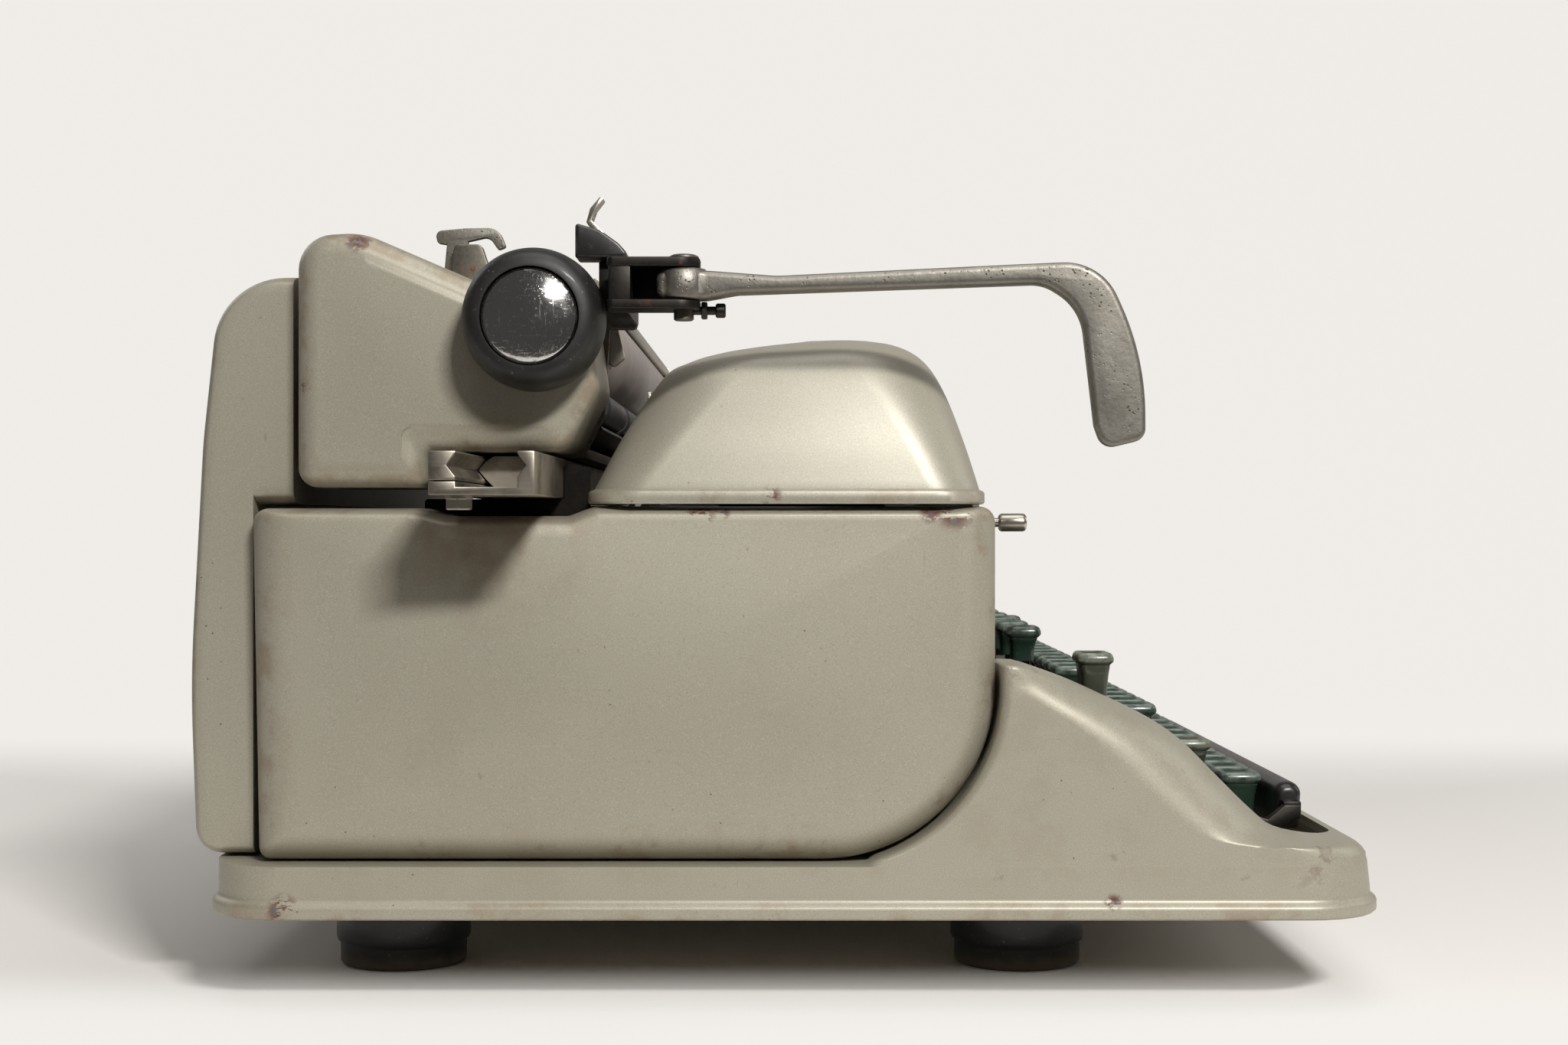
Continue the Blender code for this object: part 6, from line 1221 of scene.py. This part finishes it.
def make_keyboard():
    pitch, per_row, depth = 19.05, 12, 13
    shifts = {"upper": -0.5, "number": 0, "home": -0.25, "lower": 0.25}
    starts = {row: pitch * shift - 102.1 for row, shift in shifts.items()}
    middles = {row: [start + pitch * step for step in range(per_row)] for row, start in starts.items()}
    ranks = {"number": 2, "upper": 1, "home": 0, "lower": -1}
    places = {row: (-136.4 + pitch * up, 73.2 + 12.2 * up) for row, up in ranks.items()}
    home, lower = middles["home"], middles["lower"]
    singles = (
        ("centre_key", home[6], "home", key_green), ("shift_lock", home[0], "home", key_olive),
        ("shift_left", lower[0], "lower", key_green), ("shift_right", lower[-1], "lower", key_green),
    )
    for name, x, row, look in singles:
        y, lip = places[row]
        piece(f"{name}_cap", key_cap(x, y, lip), look, f"{name}_body", name)
        piece(f"{name}_lever", key_lever(x, y, lip - depth), worn_steel, f"{name}_body")
    middles["home"] = [x for x in home[1:] if x != home[6]]
    middles["lower"] = lower[1:-1]
    for row, columns in middles.items():
        y, lip = places[row]
        caps = join(*[key_cap(x, y, lip) for x in columns])
        piece(f"{row}_caps", caps, key_green, f"{row}_row", f"keys_{row}_row")
        tab = 42 + 12 * ranks[row]
        levers = [key_lever(x, y, lip - depth, tab) for x in columns]
        bar = box((min(columns) - 2, tab - 2.25, 37.5), (max(columns) + 2, tab + 2.25, 42), 0.3)
        piece(f"{row}_levers", join(bar, *levers), worn_steel, f"{row}_row")
    y, lip, depth = -100.2, places["number"][1] + 6.4, 19
    for name, sign in (("margin_release", -1), ("back_space", 1)):
        x, body = sign * 137, f"{name}_body"
        piece(f"{name}_cap", key_cap(x, y, lip, (18, 11.8), depth), key_olive, body, name)
        piece(f"{name}_lever", key_lever(x, y, lip - depth), worn_steel, body)
    y, lip, low, high = -80.6, 111, 87, 93
    columns = [35.2 * (step - 3) for step in range(7)]
    caps = join(*[key_cap(x, y, lip, (15.8, 11.8), 9) for x in columns])
    piece("function_caps", caps, key_green, "function_row", "function_keys")
    stem = [(y - 2, lip - 8.4), (y - 2, low), (-11.3, low), (-11.3, high), (y + 2, high), (y + 2, lip - 8.4)]
    stems = [plate(stem, "X", x - 1, x + 1) for x in columns]
    bar = box((-107.6, -40, 83), (107.6, -36, 88), 0.3)
    piece("function_stems", join(bar, *stems), worn_steel, "function_row")


def make_space_bar():
    half, top, bottom, front, back = 118, 62.2, 50.2, -173.2, -163.8
    low = bottom - 4
    corners = [(front + 1, low, 1.5), (back, low, 1.5), (back, top - 0.6, 3.6, 8), (front, top, 4.2, 10)]
    section = rounded(corners, 5)
    middle = (front + 5.2, bottom + 6)
    levels = []
    for turn in (radians(15 * step) for step in range(7)):
        levels.append((shrunk(section, middle, 0.45 + 0.55 * sin(turn)), 4 * (1 - cos(turn)) - half))
    bar = stacked("X", levels + [(outline, -spot) for outline, spot in reversed(levels)])
    piece("space_bar_top", bar, bakelite, "space_bar_body", "space_bar", crease=60)
    outline = [
        (front + 2.5, bottom + 5), (front + 2.5, bottom + 1), (back + 4, 45), (back + 30, LEVER_LOW),
        (LEVER_END, LEVER_LOW), (LEVER_END, LEVER_HIGH), (back + 24, LEVER_HIGH), (back + 4, 50.5),
        (back - 1.5, bottom + 5),
    ]
    arms = []
    for sign in SIDES.values():
        x = sign * (half + 5.2)
        first, last = sorted((sign * (half - 1), x))
        arms.append(box((first, front + 2, bottom + 2), (last, back - 1.6, bottom + 6), 0.3))
        arms.append(plate(outline, "X", x - 2, x + 2, 0.3))
    piece("space_bar_arms", join(*arms), dark_steel, "space_bar_body")


# Studio


def end_in(tree, output, *inputs):
    """Ends a material or the sky in two shaders, mixed by a share that comes first."""
    fill(tree, tree.nodes[output].inputs["Surface"], node_in(tree, "MixShader", dict(enumerate(inputs))))


def make_studio():
    scene = bpy.context.scene
    camera = placed("camera", bpy.data.cameras.new("camera"))
    camera.data.lens, camera.data.sensor_width, camera.data.clip_start = 50, 36, 0.01
    camera.location = world((-844, 0, 148.6))
    camera.rotation_euler = (radians(90), 0, radians(-90))
    scene.camera = camera
    scene.view_settings.view_transform = "Standard"

    # The floor bends up into the backdrop; far from the machine the camera sees it pale and even
    bend = [(1 + across, 0.9 + up) for across, up in arc(0.9, range(-84, 1, 6))]
    shape = bmesh.new()
    profile = [(-0.5, 0), (1, 0), *bend, (1.9, 4)]
    rows = [[shape.verts.new((x, y, z - 0.0003)) for y in (-4, 4)] for x, z in profile]
    for first, second in zip(rows, rows[1:]):
        shape.faces.new((first[0], second[0], second[1], first[1]))
    mesh = as_mesh(shape)
    mesh.shade_smooth()
    placed("backdrop", mesh)
    material = bpy.data.materials.new("pale_paper")
    material.use_nodes = True
    mesh.materials.append(material)
    tree = material.node_tree
    shader = tree.nodes["Principled BSDF"]
    shader.inputs["Base Color"].default_value = (0.84, 0.815, 0.785, 1)
    shader.inputs["Roughness"].default_value = 0.85
    pale = {"Color": (0.9, 0.872, 0.835, 1)}
    ramps = ((0, 0.2, 0.62, 0.93), (0, -0.175, -0.26, 0.8), (1, 0.25, 0.75, 0.85), (1, -0.25, -0.75, 0.85))
    away = None
    for axis, near, far, most in ramps:
        spot = node_in(tree, "SeparateXYZ", {0: node_in(tree, "TexCoord", {}, "Object")}, axis)
        inputs = {"Value": spot, "From Min": near, "From Max": far, "To Max": most}
        ramp = node_in(tree, "MapRange", inputs, interpolation_type="SMOOTHSTEP")
        away = node_in(tree, "Math", {0: away, 1: ramp}, operation="MAXIMUM") if away else ramp
    seen = node_in(tree, "LightPath", {}, "Is Camera Ray")
    share = node_in(tree, "Math", {0: seen, 1: away}, operation="MULTIPLY")
    end_in(tree, "Material Output", share, shader.outputs[0], node_in(tree, "Emission", pale))

    scene.world = bpy.data.worlds.new("studio")
    scene.world.use_nodes = True
    tree = scene.world.node_tree
    dim = tree.nodes["Background"]
    dim.inputs["Color"].default_value = (0.075, 0.072, 0.07, 1)
    seen = node_in(tree, "LightPath", {}, "Is Camera Ray")
    end_in(tree, "World Output", seen, dim.outputs[0], node_in(tree, "Background", pale))
    lamps = (
        ("key", (-1.5, -0.5, 1.08), (-0.08, -0.02, 0.13), (0.34, 0.12), 28, 0.96),
        ("top", (-0.4, -0.1, 1.8), (-0.1, 0, 0), (1.3, 1), 11, 0.965),
        ("side", (0.3, -2, 1.1), (0, 0, 0.1), (1, 1), 5, 0.965),
        ("back", (1.3, 1.6, 1.2), (0, 0, 0.1), (1, 1), 5, 0.965),
    )
    for name, spot, aim, size, power, blue in lamps:
        light = bpy.data.lights.new(name, "AREA")
        light.shape = "RECTANGLE"
        light.size, light.size_y = size
        light.energy = power
        light.color = (1, 0.985, blue)
        lamp = placed(name, light)
        lamp.location = spot
        lamp.rotation_mode = "QUATERNION"
        lamp.rotation_quaternion = (Vector(aim) - Vector(spot)).to_track_quat("-Z", "Y")


MAKERS = (
    make_studio, make_base, make_feet, make_side_covers, make_rear_cover, make_ribbon_cover, make_front_panel,
    make_rails, make_end_covers, make_platen, make_knobs, make_lever, make_bracket, make_top_levers, make_bail,
    make_end_plates, make_paper_path, make_margins, make_spools, make_type_basket, make_drum_and_bell,
    make_inner_frame, make_inside, make_keyboard, make_space_bar,
)
for make in MAKERS:
    make()
